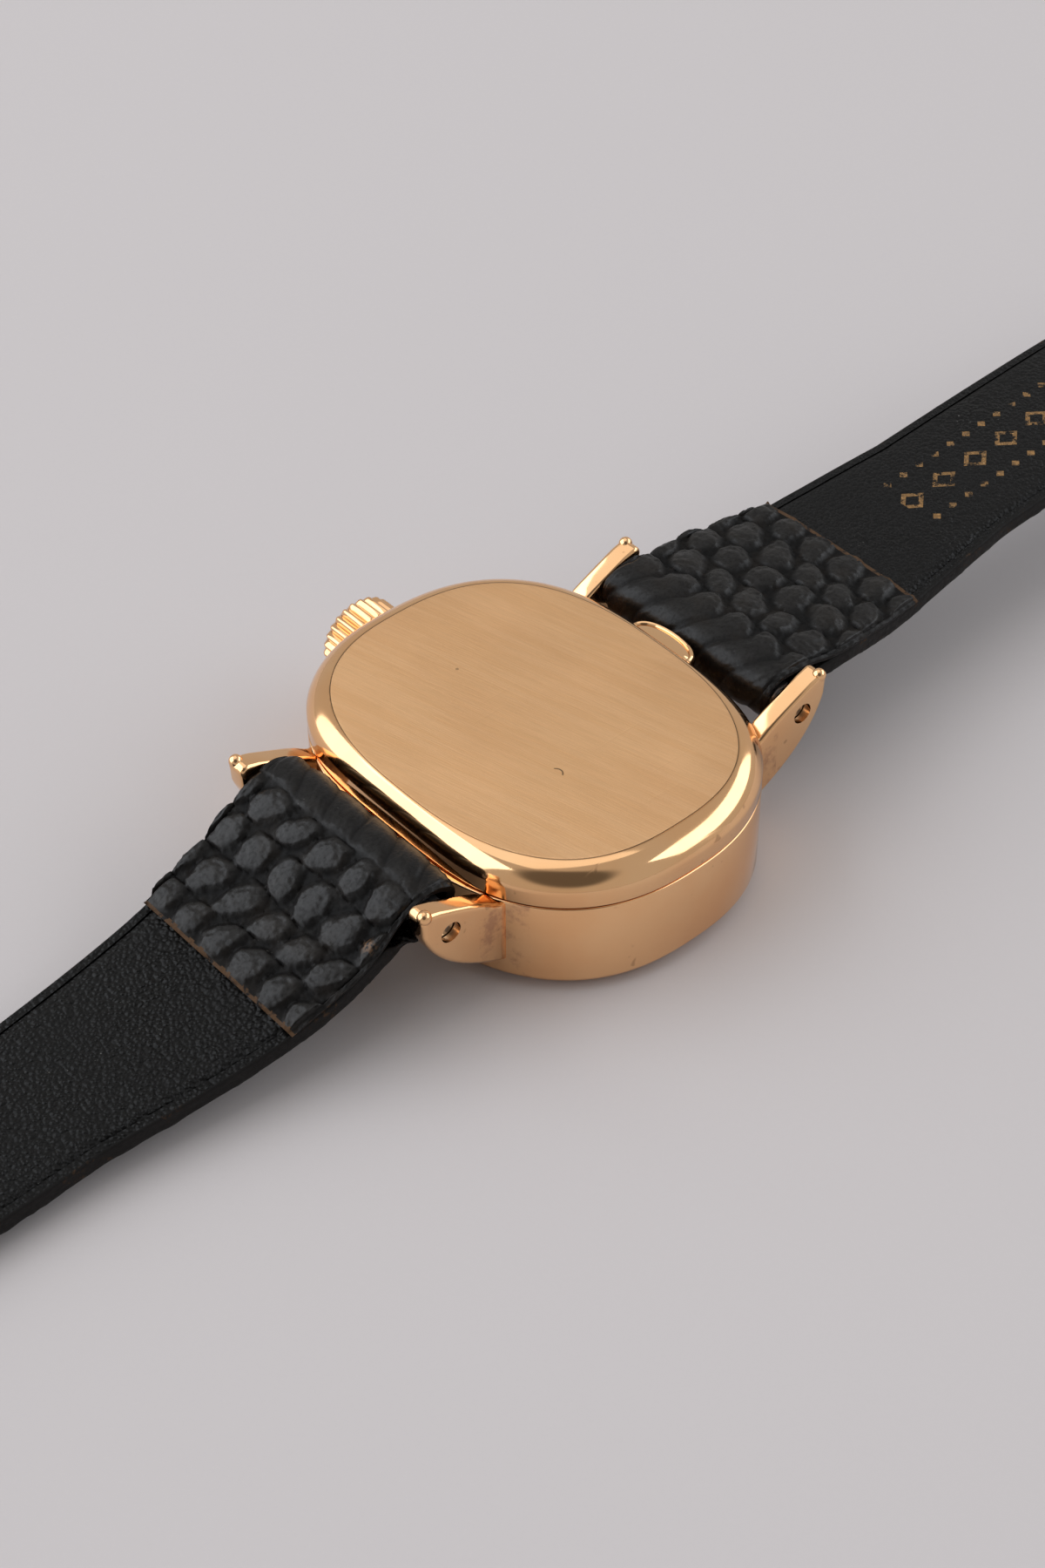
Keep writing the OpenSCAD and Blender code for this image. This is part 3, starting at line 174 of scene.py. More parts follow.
def even(line, gap):
    """Points along a line, gap(point) apart, each with its distance from the start."""
    out, walked, due = [(line[0], 0.0)], 0.0, gap(line[0])
    for p, q in zip(line, line[1:]):
        span = (q - p).length
        while span > 1e-9 and due <= walked + span:
            point = p.lerp(q, (due - walked) / span)
            out.append((point, due))
            due += gap(point)
        walked += span
    out[-1] = (line[-1], walked)
    return out


def relaxed(line, rounds):
    """A line with its corners softened, more with every round."""
    for _ in range(rounds):
        inner = [(a + 2 * b + c) / 4 for a, b, c in zip(line, line[1:], line[2:])]
        line = [line[0]] + inner + [line[-1]]
    return line


def length_of(line):
    return sum((b - a).length for a, b in zip(line, line[1:]))


def half_width(x):
    """Half width of a strap at a distance from the middle of the case."""
    between_lugs = LUG_IN - 0.15 + 0.12 * ease(x, 14.2, 16)
    taper = END_HALF + 0.0967 * (32.5 - x)
    return min(between_lugs, max(taper, mix(END_HALF + 0.15, END_HALF, ease(x, 48, 60))))


def tail_half(x):
    """Half width of the long strap half, with its rounded tip."""
    return half_width(x) * max(0.0, 1 - max(0.0, (x - 108) / 9) ** 2) ** 0.45


# Meshes

def skin(bm, rows, columns, place, paint=None, uv=None, keep=None):
    """Bends a grid into a skin. place(i, k) gives the point of row i and column k."""
    if keep:
        relief = bm.verts.layers.float.get("relief") or bm.verts.layers.float.new("relief")
    layer = bm.loops.layers.uv.verify() if uv else None
    grid = bmesh.ops.create_grid(bm, x_segments=rows, y_segments=columns, size=1.0)["verts"]
    cell = {v: (round((v.co.x + 1) / 2 * rows), round((v.co.y + 1) / 2 * columns)) for v in grid}
    faces = {f for v in grid for f in v.link_faces}
    for f in faces:
        if paint:
            f.material_index = paint(*(min(cell[v][axis] for v in f.verts) for axis in (0, 1)))
        if uv:
            for loop in f.loops:
                loop[layer].uv = uv(*cell[loop.vert])
    for v, (i, k) in cell.items():
        v.co = place(i, k)
        if keep:
            v[relief] = keep[i, k]
    bmesh.ops.remove_doubles(bm, verts=grid, dist=1e-4)
    return [v for v in grid if v.is_valid]


def close_ends(bm, verts, paint=0):
    """Fills the open ends of a skin."""
    rim = list({e for v in verts for e in v.link_edges if e.is_boundary})
    for f in bmesh.ops.holes_fill(bm, edges=rim, sides=0)["faces"]:
        f.material_index = paint


def swept(bm, rings, columns=192, closed=False, paint=None):
    """Skins rings, each a function of the turn about the middle."""
    count = len(rings)
    verts = skin(bm, count if closed else count - 1, columns,
                 lambda i, k: Vector(rings[i % count](2 * math.pi * k / columns)), paint)
    if not closed:
        close_ends(bm, verts, paint(-1, 0) if paint else 0)


def verts_of(geometry):
    return [g for g in geometry if isinstance(g, bmesh.types.BMVert)]


def placed(bm, name):
    """Puts a bmesh into the scene as an object."""
    mesh = bpy.data.meshes.new(name)
    bm.to_mesh(mesh)
    bm.free()
    made = bpy.data.objects.new(name, mesh)
    bpy.context.scene.collection.objects.link(made)
    return made


def smoothed(mesh, sharp):
    """Shades a mesh smooth, apart from edges sharper than an angle in degrees."""
    mesh.polygons.foreach_set("use_smooth", [True] * len(mesh.polygons))
    mesh.set_sharp_from_angle(angle=math.radians(sharp))


def piece(bm, name, body, materials, nodes=(), sharp=35):
    """Turns a shaped bmesh into a finished piece on its body."""
    bmesh.ops.recalc_face_normals(bm, faces=bm.faces)
    bmesh.ops.scale(bm, vec=(MM, MM, MM), verts=bm.verts)
    made = placed(bm, name)
    for material in materials:
        made.data.materials.append(material)
    smoothed(made.data, sharp)
    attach(made, body)
    if nodes:
        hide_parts(*nodes)
    return made


def drilled(target, rods, sharp=35, crossed=False):
    """Cuts round holes out of a piece. rods lists them as start, end and radius in millimetres, and
    crossed is for a piece whose parts run through each other."""
    bm = bmesh.new()
    for start, end, r in rods:
        start, end = Vector(start), Vector(end)
        turn = (end - start).to_track_quat("Z", "Y").to_matrix().to_4x4()
        bmesh.ops.create_cone(bm, cap_ends=True, segments=40, radius1=r, radius2=r,
                              depth=(end - start).length,
                              matrix=Matrix.Translation((start + end) / 2) @ turn)
    bmesh.ops.scale(bm, vec=(MM, MM, MM), verts=bm.verts)
    cutter = placed(bm, "cutter")
    cut = target.modifiers.new("holes", "BOOLEAN")
    cut.operation, cut.solver, cut.object, cut.use_self = "DIFFERENCE", "EXACT", cutter, crossed
    graph = bpy.context.evaluated_depsgraph_get()
    done = bpy.data.meshes.new_from_object(target.evaluated_get(graph), depsgraph=graph)
    target.modifiers.clear()
    target.data = done
    done.name = target.name
    smoothed(done, sharp)
    bpy.data.objects.remove(cutter)


# Places of single marks, in metres as the finishes read them: the scratch and its end, the dark spot, the
# rubbed spot on the flap, and the middle and reach of the painted shade at the lug joints and of the foil
SCRATCH, SCRATCH_R, SCRATCH_END = (-0.00212, -0.0042, 0.008), 0.00036, -0.00195
DARK_SPOT, DARK_SPOT_R = (-0.0006, 0.00525, 0.008), 0.00009
RUBBED_SPOT = (-0.0156, -0.00578, 0.0060)
JOINT_SHADE_X, JOINT_SHADE_Y = (0.0090, 0.0013), (0.0074, 0.0014)
FOIL_X = (0.0385, 0.0105)


# Shader nodes

def put(tree, kind, values=None, links=None):
    """Adds a node. Small-letter keys are its settings, the others its inputs."""
    node = tree.nodes.new(kind)
    for key, value in (values or {}).items():
        if isinstance(key, str) and key[0].islower():
            setattr(node, key, value)
        else:
            node.inputs[key].default_value = value
    for key, socket in (links or {}).items():
        tree.links.new(socket, node.inputs[key])
    return node


def maths(tree, operation, *values, clamp=False):
    """Adds a Math node, fed with numbers or sockets."""
    node = put(tree, "ShaderNodeMath", {"operation": operation, "use_clamp": clamp})
    for i, value in enumerate(values):
        if isinstance(value, (int, float)):
            node.inputs[i].default_value = value
        else:
            tree.links.new(value, node.inputs[i])
    return node.outputs[0]


def times(tree, a, b, clamp=False):
    return maths(tree, "MULTIPLY", a, b, clamp=clamp)


def ramp(tree, value, low, high, to_low=0.0, to_high=1.0):
    """Maps low..high smoothly onto to_low..to_high."""
    return put(tree, "ShaderNodeMapRange", {"interpolation_type": "SMOOTHSTEP", 1: low, 2: high,
                                            3: to_low, 4: to_high}, {0: value}).outputs[0]


def blend_colour(tree, share, first, second):
    """Mixes two colours, all second where share is 1."""
    node = put(tree, "ShaderNodeMix", {"data_type": "RGBA"})
    for key, value in ((0, share), (6, first), (7, second)):
        if isinstance(value, (int, float)):
            node.inputs[key].default_value = value
        elif hasattr(value, "__len__"):
            node.inputs[key].default_value = (*value[:3], 1)
        else:
            tree.links.new(value, node.inputs[key])
    return node.outputs[2]


def tinted(colour, *by):
    """A colour times one factor, or times one for each channel."""
    return tuple(c * k for c, k in zip(colour, by if len(by) > 1 else by * 3))


def clouded(tree, vector, scale, detail=3.0, roughness=0.55):
    """A noise that changes over the surface."""
    return put(tree, "ShaderNodeTexNoise", {"Scale": scale, "Detail": detail, "Roughness": roughness},
               {"Vector": vector}).outputs[0]


def axes(tree, vector):
    return put(tree, "ShaderNodeSeparateXYZ", links={0: vector}).outputs[:3]


def joined(tree, *parts):
    return put(tree, "ShaderNodeCombineXYZ", links=dict(enumerate(parts))).outputs[0]


def away_from(tree, place, centre):
    """Distance from a point, in metres."""
    return put(tree, "ShaderNodeVectorMath", {"operation": "DISTANCE", 1: centre},
               {0: place}).outputs["Value"]


# Effects that several finishes share

def effect(name, settings, outputs):
    """Turns a function into a node group of masks and heights, built when it is first used."""
    def wrap(build):
        def get():
            made = bpy.data.node_groups.get(name)
            if made:
                return made
            made = bpy.data.node_groups.new(name, "ShaderNodeTree")
            made.interface.new_socket(name="Vector", in_out="INPUT", socket_type="NodeSocketVector")
            for label, value in settings.items():
                made.interface.new_socket(name=label, in_out="INPUT",
                                          socket_type="NodeSocketFloat").default_value = value
            for label in outputs:
                made.interface.new_socket(name=label, in_out="OUTPUT", socket_type="NodeSocketFloat")
            given, out = made.nodes.new("NodeGroupInput"), made.nodes.new("NodeGroupOutput")
            for label, socket in zip(outputs, build(made, *given.outputs[:1 + len(settings)])):
                made.links.new(socket, out.inputs[label])
            return made
        return get
    return wrap


@effect("Brushed grain", {"Across": 9000.0, "Along": 300.0}, ("Height", "Streak"))
def brushed_grain(group, vector, across, along):
    """Fine lines along Y: their height, and the broader streaks among them."""
    x, y, z = axes(group, vector)
    fine = joined(group, times(group, x, across), times(group, y, along), times(group, z, across))
    broad = put(group, "ShaderNodeVectorMath", {"operation": "SCALE", "Scale": 0.22}, {0: fine}).outputs[0]
    return clouded(group, fine, 1.0, 4, 0.7), clouded(group, broad, 1.0, 3, 0.6)


@effect("Handling marks", {"Scale": 1.0}, ("Smudge", "Scratch", "Speck"))
def handling(group, vector, scale):
    """Marks of use: soft smudges, thin scratches and small dark specks."""
    vector = put(group, "ShaderNodeVectorMath", {"operation": "SCALE"},
                 {0: vector, "Scale": scale}).outputs[0]
    cuts = []
    for turn, stretch in ((0.5, (90, 2600, 400)), (2.1, (120, 3100, 400))):
        lines = put(group, "ShaderNodeMapping", {"Rotation": (0.3, 0.1, turn), "Scale": stretch},
                    {"Vector": vector}).outputs[0]
        cuts.append(ramp(group, clouded(group, lines, 1.0, 2, 0.5), 0.69, 0.76))
    return (ramp(group, clouded(group, vector, 160, 3, 0.6), 0.35, 0.7), maths(group, "MAXIMUM", *cuts),
            ramp(group, clouded(group, vector, 1500, 1, 0.4), 0.74, 0.8))


@effect("Edge wear and corner shade", {"Reach": 0.56}, ("Worn", "Hollow"))
def edge_wear_and_corner_shade(group, vector, reach):
    """Worn is 1 on sharp outer edges, broken up by a fine noise. Corner shade is 1 in inner corners, a mask
    for painted shade.
    """
    point = put(group, "ShaderNodeNewGeometry").outputs["Pointiness"]
    worn = put(group, "ShaderNodeMapRange", {2: 0.62}, {0: point, 1: reach}).outputs[0]
    patches = ramp(group, clouded(group, vector, 1800, 3, 0.6), 0.3, 0.6)
    return times(group, worn, patches, clamp=True), ramp(group, point, 0.49, 0.42)


@effect("Pebble grain", {"Scale": 3600.0}, ("Height", "Crease shade", "Tone"))
def pebble_grain(group, vector, scale):
    """Pebbled leather: rounded grains with creases between them, and a mask of the creases for painted shade.
    """
    warp = clouded(group, vector, 1500, 2)
    bent = put(group, "ShaderNodeVectorMath", {"operation": "MULTIPLY_ADD", 1: (0.00025,) * 3},
               {0: joined(group, warp, warp, warp), 2: vector}).outputs[0]
    kinds = {"feature": "SMOOTH_F1", "Smoothness": 0.5}, {"feature": "DISTANCE_TO_EDGE"}
    cells, edge = (put(group, "ShaderNodeTexVoronoi", kind, {"Vector": bent, "Scale": scale}).outputs[0]
                   for kind in kinds)
    fold = ramp(group, clouded(group, vector, 420, 3, 0.6), 0.35, 0.65)
    return (maths(group, "SUBTRACT", times(group, fold, 0.3), times(group, cells, 1.2)),
            ramp(group, edge, 0.12, 0.0), clouded(group, vector, 260, 4))


@effect("Dust", {"Amount": 0.5}, ("Mask",))
def dust(group, vector, amount):
    """Sparse pale lint and dust."""
    fine = ramp(group, clouded(group, vector, 5200, 2, 0.7), 0.7, 0.78)
    patch = ramp(group, clouded(group, vector, 300, 2), 0.45, 0.7)
    return (times(group, times(group, fine, patch), amount, clamp=True),)


def use(tree, group, vector, values=None):
    """Places a shared effect in a material."""
    node = tree.nodes.new("ShaderNodeGroup")
    node.node_tree = group
    tree.links.new(vector, node.inputs["Vector"])
    for key, value in (values or {}).items():
        node.inputs[key].default_value = value
    return node.outputs


# Finishes

FINISHES = {}


def once(build):
    """Builds each finish a single time."""
    def get(*key):
        found = FINISHES.get((build.__name__, key))
        if not found:
            found = FINISHES[build.__name__, key] = build(*key)
        return found
    return get


def finish_of(name, plain, metal=0.0):
    """A new material with its tree and Object coordinates."""
    material = bpy.data.materials.new(name)
    material.use_nodes = True
    tree = material.node_tree
    for key, value in {"Metallic": metal, **plain}.items():
        tree.nodes["Principled BSDF"].inputs[key].default_value = value
    return material, tree, put(tree, "ShaderNodeTexCoord").outputs["Object"]


def fed(material, tone, rough, height, depth, strength=1.0, others=None):
    """Leads colour, roughness and relief, its depth in millimetres, to a material's shader."""
    tree = material.node_tree
    bump = put(tree, "ShaderNodeBump", {"Strength": strength, "Distance": depth * MM}, {"Height": height})
    sockets = {"Base Color": tone, "Roughness": rough, "Normal": bump.outputs[0], **(others or {})}
    for key, socket in sockets.items():
        tree.links.new(socket, tree.nodes["Principled BSDF"].inputs[key])
    return material


def turned(tree, vector, angle, centre=(0, 0, 0)):
    """Coordinates with a pattern's middle at centre, turned by an angle."""
    moved = put(tree, "ShaderNodeVectorMath", {"operation": "SUBTRACT", 1: [c * MM for c in centre]},
                {0: vector}).outputs[0]
    return put(tree, "ShaderNodeMapping", {"Rotation": (0, 0, angle)}, {"Vector": moved}).outputs[0]


@once
def polished_gold(light=1.0):
    look = bpy.context.scene.watch_case
    material, tree, place = finish_of("polished gold %.2f" % light, {}, 1.0)
    # light scales the gold's colour as painted light and shade: 0.3 darkens the line round the back's face,
    # 1.02 and 1.04 lighten the crown and the hands
    gold = tinted(look.gold, light)
    marks = use(tree, handling(), place)
    tone = blend_colour(tree, marks["Smudge"], gold, tinted(gold, 0.97, 0.90, 0.84))
    # Painted shade: inner corners are darkened to 0.35 of the gold's colour
    tone = blend_colour(tree, use(tree, edge_wear_and_corner_shade(), place)["Hollow"], tone, tinted(gold, 0.35))
    # Painted shade, reddish brown, where the lugs join the case
    x, y, z = (maths(tree, "ABSOLUTE", c) for c in axes(tree, place))
    joint_shade = times(tree, maths(tree, "COMPARE", x, *JOINT_SHADE_X), maths(tree, "COMPARE", y, *JOINT_SHADE_Y))
    joint_shade = times(tree, joint_shade, maths(tree, "LESS_THAN", z, SEAM * MM))
    joint_shade = times(tree, joint_shade, ramp(tree, clouded(tree, place, 900, 4, 0.65), 0.46, 0.66))
    tone = blend_colour(tree, times(tree, joint_shade, 0.55), tone, (0.42, 0.20, 0.13))
    tone = blend_colour(tree, times(tree, marks["Speck"], 0.35), tone, (0.12, 0.05, 0.03))
    rough = maths(tree, "ADD", maths(tree, "MULTIPLY_ADD", marks["Smudge"], 0.07, look.polish),
                  times(tree, marks["Scratch"], 0.12))
    height = maths(tree, "SUBTRACT", clouded(tree, place, 240, 2), times(tree, marks["Scratch"], 0.3))
    return fed(material, tone, rough, height, 0.006)


@once
def brushed_gold():
    look = bpy.context.scene.watch_case
    material, tree, place = finish_of("brushed gold", {}, 1.0)
    along = turned(tree, place, -look.brush_turn)
    grain = use(tree, brushed_grain(), along, {"Across": 10500, "Along": 460})
    marks = use(tree, handling(), place)
    share = ramp(tree, grain["Streak"], 0.35, 0.65)
    fine = ramp(tree, grain["Height"], 0.3, 0.7)
    tone = blend_colour(tree, share, tinted(look.gold, 0.97, 0.94, 0.9), look.gold)
    tone = blend_colour(tree, times(tree, fine, 0.16), tone, tinted(look.gold, 0.55))
    cloud = ramp(tree, clouded(tree, place, 110, 2), 0.4, 0.7)
    tone = blend_colour(tree, times(tree, cloud, 0.12), tone, (0.55, 0.28, 0.14))
    # One small curved scratch, the part of a ring past a given x, and a fine dark spot
    scratch = maths(tree, "COMPARE", away_from(tree, place, SCRATCH), SCRATCH_R, 0.00004)
    scratch = times(tree, scratch, maths(tree, "GREATER_THAN", axes(tree, place)[0], SCRATCH_END))
    spot = maths(tree, "COMPARE", away_from(tree, place, DARK_SPOT), 0.0, DARK_SPOT_R)
    for mark, depth in ((scratch, 0.8), (spot, 0.45)):
        tone = blend_colour(tree, times(tree, mark, depth), tone, (0.10, 0.06, 0.035))
    rough = maths(tree, "ADD", maths(tree, "MULTIPLY_ADD", share, 0.02, look.brushed_roughness),
                  times(tree, marks["Smudge"], 0.05))
    height = maths(tree, "SUBTRACT", grain["Height"], times(tree, marks["Scratch"], 0.4))
    return fed(material, tone, rough, height, 0.012, 0.6)


@once
def crystal_glass():
    material, tree, place = finish_of("crystal", {"Transmission Weight": 1.0, "IOR": 1.49})
    marks = use(tree, handling(), place)
    tone = blend_colour(tree, times(tree, marks["Smudge"], 0.3), (1, 1, 1), (0.94, 0.95, 0.93))
    rough = maths(tree, "MULTIPLY_ADD", marks["Scratch"], 0.25, 0.02)
    return fed(material, tone, rough, marks["Scratch"], 0.003)


@once
def dial_enamel():
    look = bpy.context.scene.watch_dial
    material, tree, place = finish_of("silvered dial", {"Coat Weight": 0.4, "Coat Roughness": 0.08}, 0.35)
    x, y, _ = axes(tree, place)
    rays = clouded(tree, joined(tree, times(tree, maths(tree, "ARCTAN2", y, x), 60)), 1.0, 5, 0.75)
    cloud = ramp(tree, clouded(tree, place, 260, 3), 0.5, 0.75)
    tone = blend_colour(tree, ramp(tree, rays, 0.3, 0.7), tinted(look.dial, 0.88), look.dial)
    tone = blend_colour(tree, times(tree, cloud, 0.25), tone, (0.60, 0.50, 0.36))
    return fed(material, tone, ramp(tree, rays, 0.2, 0.8, 0.28, 0.42), rays, 0.004)


@once
def dial_ink():
    look = bpy.context.scene.watch_dial
    material, tree, place = finish_of("dial ink", {})
    cloud = clouded(tree, place, 2600, 2)
    tone = blend_colour(tree, cloud, look.ink, tuple(c + 0.03 for c in look.ink))
    return fed(material, tone, ramp(tree, cloud, 0.3, 0.7, 0.4, 0.6), cloud, 0.002)


@once
def metal_finish(name, tint, rough, pattern, centre=(0, 0, 0), turn=0.0):
    """Watch metals. The pattern is lines, rings, snail, stripes or pearls, laid from centre."""
    material, tree, place = finish_of(name, {}, 1.0)
    spot = turned(tree, place, turn, centre)
    marks = use(tree, handling(), place)
    x, y, _ = axes(tree, spot)
    reach = maths(tree, "SQRT", maths(tree, "ADD", times(tree, x, x), times(tree, y, y)))
    if pattern == "rings":
        grain = clouded(tree, joined(tree, times(tree, reach, 16000)), 1.0, 4, 0.7)
        depth = 0.004
    elif pattern == "snail":
        swirl = maths(tree, "MULTIPLY_ADD", maths(tree, "ARCTAN2", y, x), 22, times(tree, reach, 6000))
        grain = clouded(tree, joined(tree, swirl), 1.0, 4, 0.7)
        depth = 0.005
    elif pattern == "stripes":
        band = maths(tree, "PINGPONG", times(tree, x, 1 / (1.1 * MM)), 0.5)
        fine = clouded(tree, joined(tree, times(tree, x, 700), times(tree, y, 14000)), 1.0, 3, 0.7)
        grain = maths(tree, "MULTIPLY_ADD", fine, 0.25, times(tree, band, 1.6))
        depth = 0.02
    elif pattern == "pearls":
        kind = {"voronoi_dimensions": "2D", "Scale": 1500, "Randomness": 0.05}
        cell = put(tree, "ShaderNodeTexVoronoi", kind, {"Vector": spot}).outputs["Distance"]
        grain = maths(tree, "MULTIPLY_ADD", maths(tree, "SINE", times(tree, cell, 70)), 0.1, cell)
        depth = 0.012
    else:
        grain = use(tree, brushed_grain(), spot, {"Across": 14000, "Along": 500})["Height"]
        depth = 0.004
    tone = blend_colour(tree, ramp(tree, grain, 0.2, 0.8), tinted(tint, 0.8), tint)
    tone = blend_colour(tree, times(tree, marks["Speck"], 0.4), tone, tinted(tint, 0.3))
    gloss = maths(tree, "ADD", ramp(tree, grain, 0.2, 0.8, rough * 1.3, rough * 0.8),
                  times(tree, marks["Smudge"], 0.06))
    return fed(material, tone, gloss, grain, depth)


@once
def ruby():
    material, tree, place = finish_of("ruby", {"Transmission Weight": 0.55, "IOR": 1.76,
                                               "Coat Weight": 0.5, "Coat Roughness": 0.03})
    cloud = clouded(tree, place, 2400, 2)
    tone = blend_colour(tree, cloud, (0.45, 0.01, 0.06), (0.75, 0.05, 0.16))
    return fed(material, tone, ramp(tree, cloud, 0.3, 0.7, 0.04, 0.12), cloud, 0.001)


@once
def lizard_leather():
    look = bpy.context.scene.watch_strap
    material, tree, place = finish_of("lizard leather", {"Specular IOR Level": 0.13, "Coat Roughness": 0.28})
    high = put(tree, "ShaderNodeAttribute", {"attribute_name": "relief"}).outputs["Fac"]
    fine = clouded(tree, place, 4800, 3, 0.6)
    folds = use(tree, brushed_grain(), place, {"Across": 900, "Along": 3800})["Height"]
    clouds = ramp(tree, clouded(tree, place, 700, 3), 0.45, 0.7)
    # Painted shade: the grooves between the scales are darkened to a quarter of the leather's colour,
    # following the relief
    tone = blend_colour(tree, high, tinted(look.leather, 0.25), look.leather)
    tone = blend_colour(tree, times(tree, clouds, 0.5), tone, tinted(look.leather, 1.8, 1.5, 1.1))
    tone = blend_colour(tree, times(tree, use(tree, edge_wear_and_corner_shade(), place)["Worn"], 0.05), tone, look.raw)
    # A small spot where the flap's edge is rubbed to the brown
    spot = ramp(tree, away_from(tree, place, RUBBED_SPOT), 0.0006, 0.0001)
    tone = blend_colour(tree, times(tree, spot, ramp(tree, fine, 0.42, 0.56)), tone, tinted(look.raw, 1.5))
    tone = blend_colour(tree, use(tree, dust(), place, {"Amount": 0.5})["Mask"], tone, (0.2, 0.19, 0.17))
    rough = maths(tree, "ADD", ramp(tree, high, 0.15, 0.85, 0.7, look.gloss),
                  maths(tree, "MULTIPLY_ADD", fine, 0.16, -0.08))
    # The rubbed tops of the scales shine
    shine = times(tree, ramp(tree, high, 0.1, 1.0, 0.04, 0.34), ramp(tree, fine, 0.25, 0.6, 0.3, 1.0))
    height = maths(tree, "MULTIPLY_ADD", fine, 0.45, times(tree, folds, 0.35))
    return fed(material, tone, rough, height, 0.06, others={"Coat Weight": shine})


@once
def edge_leather():
    """The smooth black side of the strap, rubbed brown in places."""
    look = bpy.context.scene.watch_strap
    material, tree, place = finish_of("edge leather", {"Specular IOR Level": 0.15})
    fine = clouded(tree, place, 3600, 4, 0.65)
    folds = clouded(tree, place, 700, 3)
    patches = ramp(tree, clouded(tree, place, 420, 3, 0.7), 0.52, 0.66)
    worn = times(tree, patches, ramp(tree, fine, 0.5, 0.64))
    tone = blend_colour(tree, folds, tinted(look.leather, 0.5), tinted(look.leather, 1.3))
    tone = blend_colour(tree, times(tree, worn, 0.5), tone, look.raw)
    height = maths(tree, "MULTIPLY_ADD", folds, 0.8, fine)
    return fed(material, tone, ramp(tree, fine, 0.3, 0.7, 0.42, 0.62), height, 0.03)


def foil_marks(tree, place):
    """Mask of a plain row of lozenges between two dotted lines, in worn foil."""
    x, y, _ = axes(tree, place)
    along, across = times(tree, x, 1 / MM), maths(tree, "ABSOLUTE", times(tree, y, 1 / MM))
    lozenge = maths(tree, "ADD", maths(tree, "PINGPONG", along, 1.3), times(tree, across, 1.15))
    dot = maths(tree, "ADD", maths(tree, "PINGPONG", along, 0.65),
                maths(tree, "ABSOLUTE", maths(tree, "SUBTRACT", across, 1.9)))
    shape = maths(tree, "MAXIMUM", maths(tree, "COMPARE", lozenge, 0.75, 0.2),
                  maths(tree, "LESS_THAN", dot, 0.3))
    worn = ramp(tree, clouded(tree, place, 1700, 4, 0.75), 0.42, 0.54)
    return times(tree, times(tree, shape, maths(tree, "COMPARE", x, *FOIL_X)), worn)


@once
def grained_lining(foil=False):
    look = bpy.context.scene.watch_strap
    material, tree, place = finish_of("foil stamped lining" if foil else "grained lining",
                                      {"Specular IOR Level": 0.14})
    grain = use(tree, pebble_grain(), place, {"Scale": 4600.0 if foil else 4300.0})
    lint = use(tree, dust(), place, {"Amount": 0.8})["Mask"]
    tone = blend_colour(tree, grain["Tone"], tinted(look.lining, 0.5), tinted(look.lining, 1.6))
    # Painted shade: the creases between the grains are darkened
    tone = blend_colour(tree, times(tree, grain["Crease shade"], 0.7), tone, tinted(look.lining, 0.2))
    tone = blend_colour(tree, lint, tone, (0.25, 0.24, 0.22))
    rough = ramp(tree, grain["Tone"], 0.3, 0.7, 0.32, 0.5)
    if not foil:
        return fed(material, tone, rough, grain["Height"], 0.13)
    mask = foil_marks(tree, place)
    return fed(material, blend_colour(tree, mask, tone, (0.30, 0.17, 0.07)),
               maths(tree, "MULTIPLY_ADD", mask, -0.15, rough),
               maths(tree, "MULTIPLY_ADD", mask, -0.6, grain["Height"]), 0.08,
               others={"Metallic": times(tree, mask, 0.7)})


@once
def cut_leather():
    """Cut edge of the leather: brown fibres under patches of black dye."""
    look = bpy.context.scene.watch_strap
    material, tree, place = finish_of("cut leather", {"Specular IOR Level": 0.2})
    fibre = use(tree, brushed_grain(), place, {"Across": 2600, "Along": 7000})
    cover = ramp(tree, clouded(tree, place, 1300, 4, 0.7), 0.62, 0.5)
    tone = blend_colour(tree, fibre["Height"], tinted(look.raw, 0.45), tinted(look.raw, 1.3))
    tone = blend_colour(tree, cover, tinted(look.leather, 1.2), tone)
    return fed(material, tone, ramp(tree, fibre["Streak"], 0.3, 0.7, 0.6, 0.85), fibre["Height"], 0.04)


@once
def floor_paper():
    look = bpy.context.scene.watch_stage
    material, tree, place = finish_of("pale table", {"Specular IOR Level": 0.2})
    fleck = clouded(tree, place, 3000, 2)
    tone = blend_colour(tree, clouded(tree, place, 9, 2), tinted(look.floor, 0.985), tinted(look.floor, 1.01))
    tone = blend_colour(tree, times(tree, fleck, 0.03), tone, (0.4, 0.38, 0.37))
    return fed(material, tone, ramp(tree, fleck, 0.3, 0.7, 0.75, 0.85), fleck, 0.004)


# Pieces of the case

def make_band():
    """The side wall of the case, with the stem's hole."""
    r = bpy.context.scene.watch_case.edge / MM
    turns = [i * math.pi / 8 for i in range(5)]
    profile = ([(r - r * math.sin(t), BAND_LOW + r - r * math.cos(t)) for t in turns]
               + [(r - r * math.cos(t), SEAM - r + r * math.sin(t)) for t in turns]
               + [(1.0, SEAM), (1.0, BAND_LOW)])
    bm = bmesh.new()
    swept(bm, [at_inset(*p) for p in profile], closed=True)
    band = piece(bm, "case_band", "case", [polished_gold()], ["case_middle"])
    drilled(band, [((0, 10.5, STEM_Z), (0, 13.5, STEM_Z), STEM_HOLE_R)])


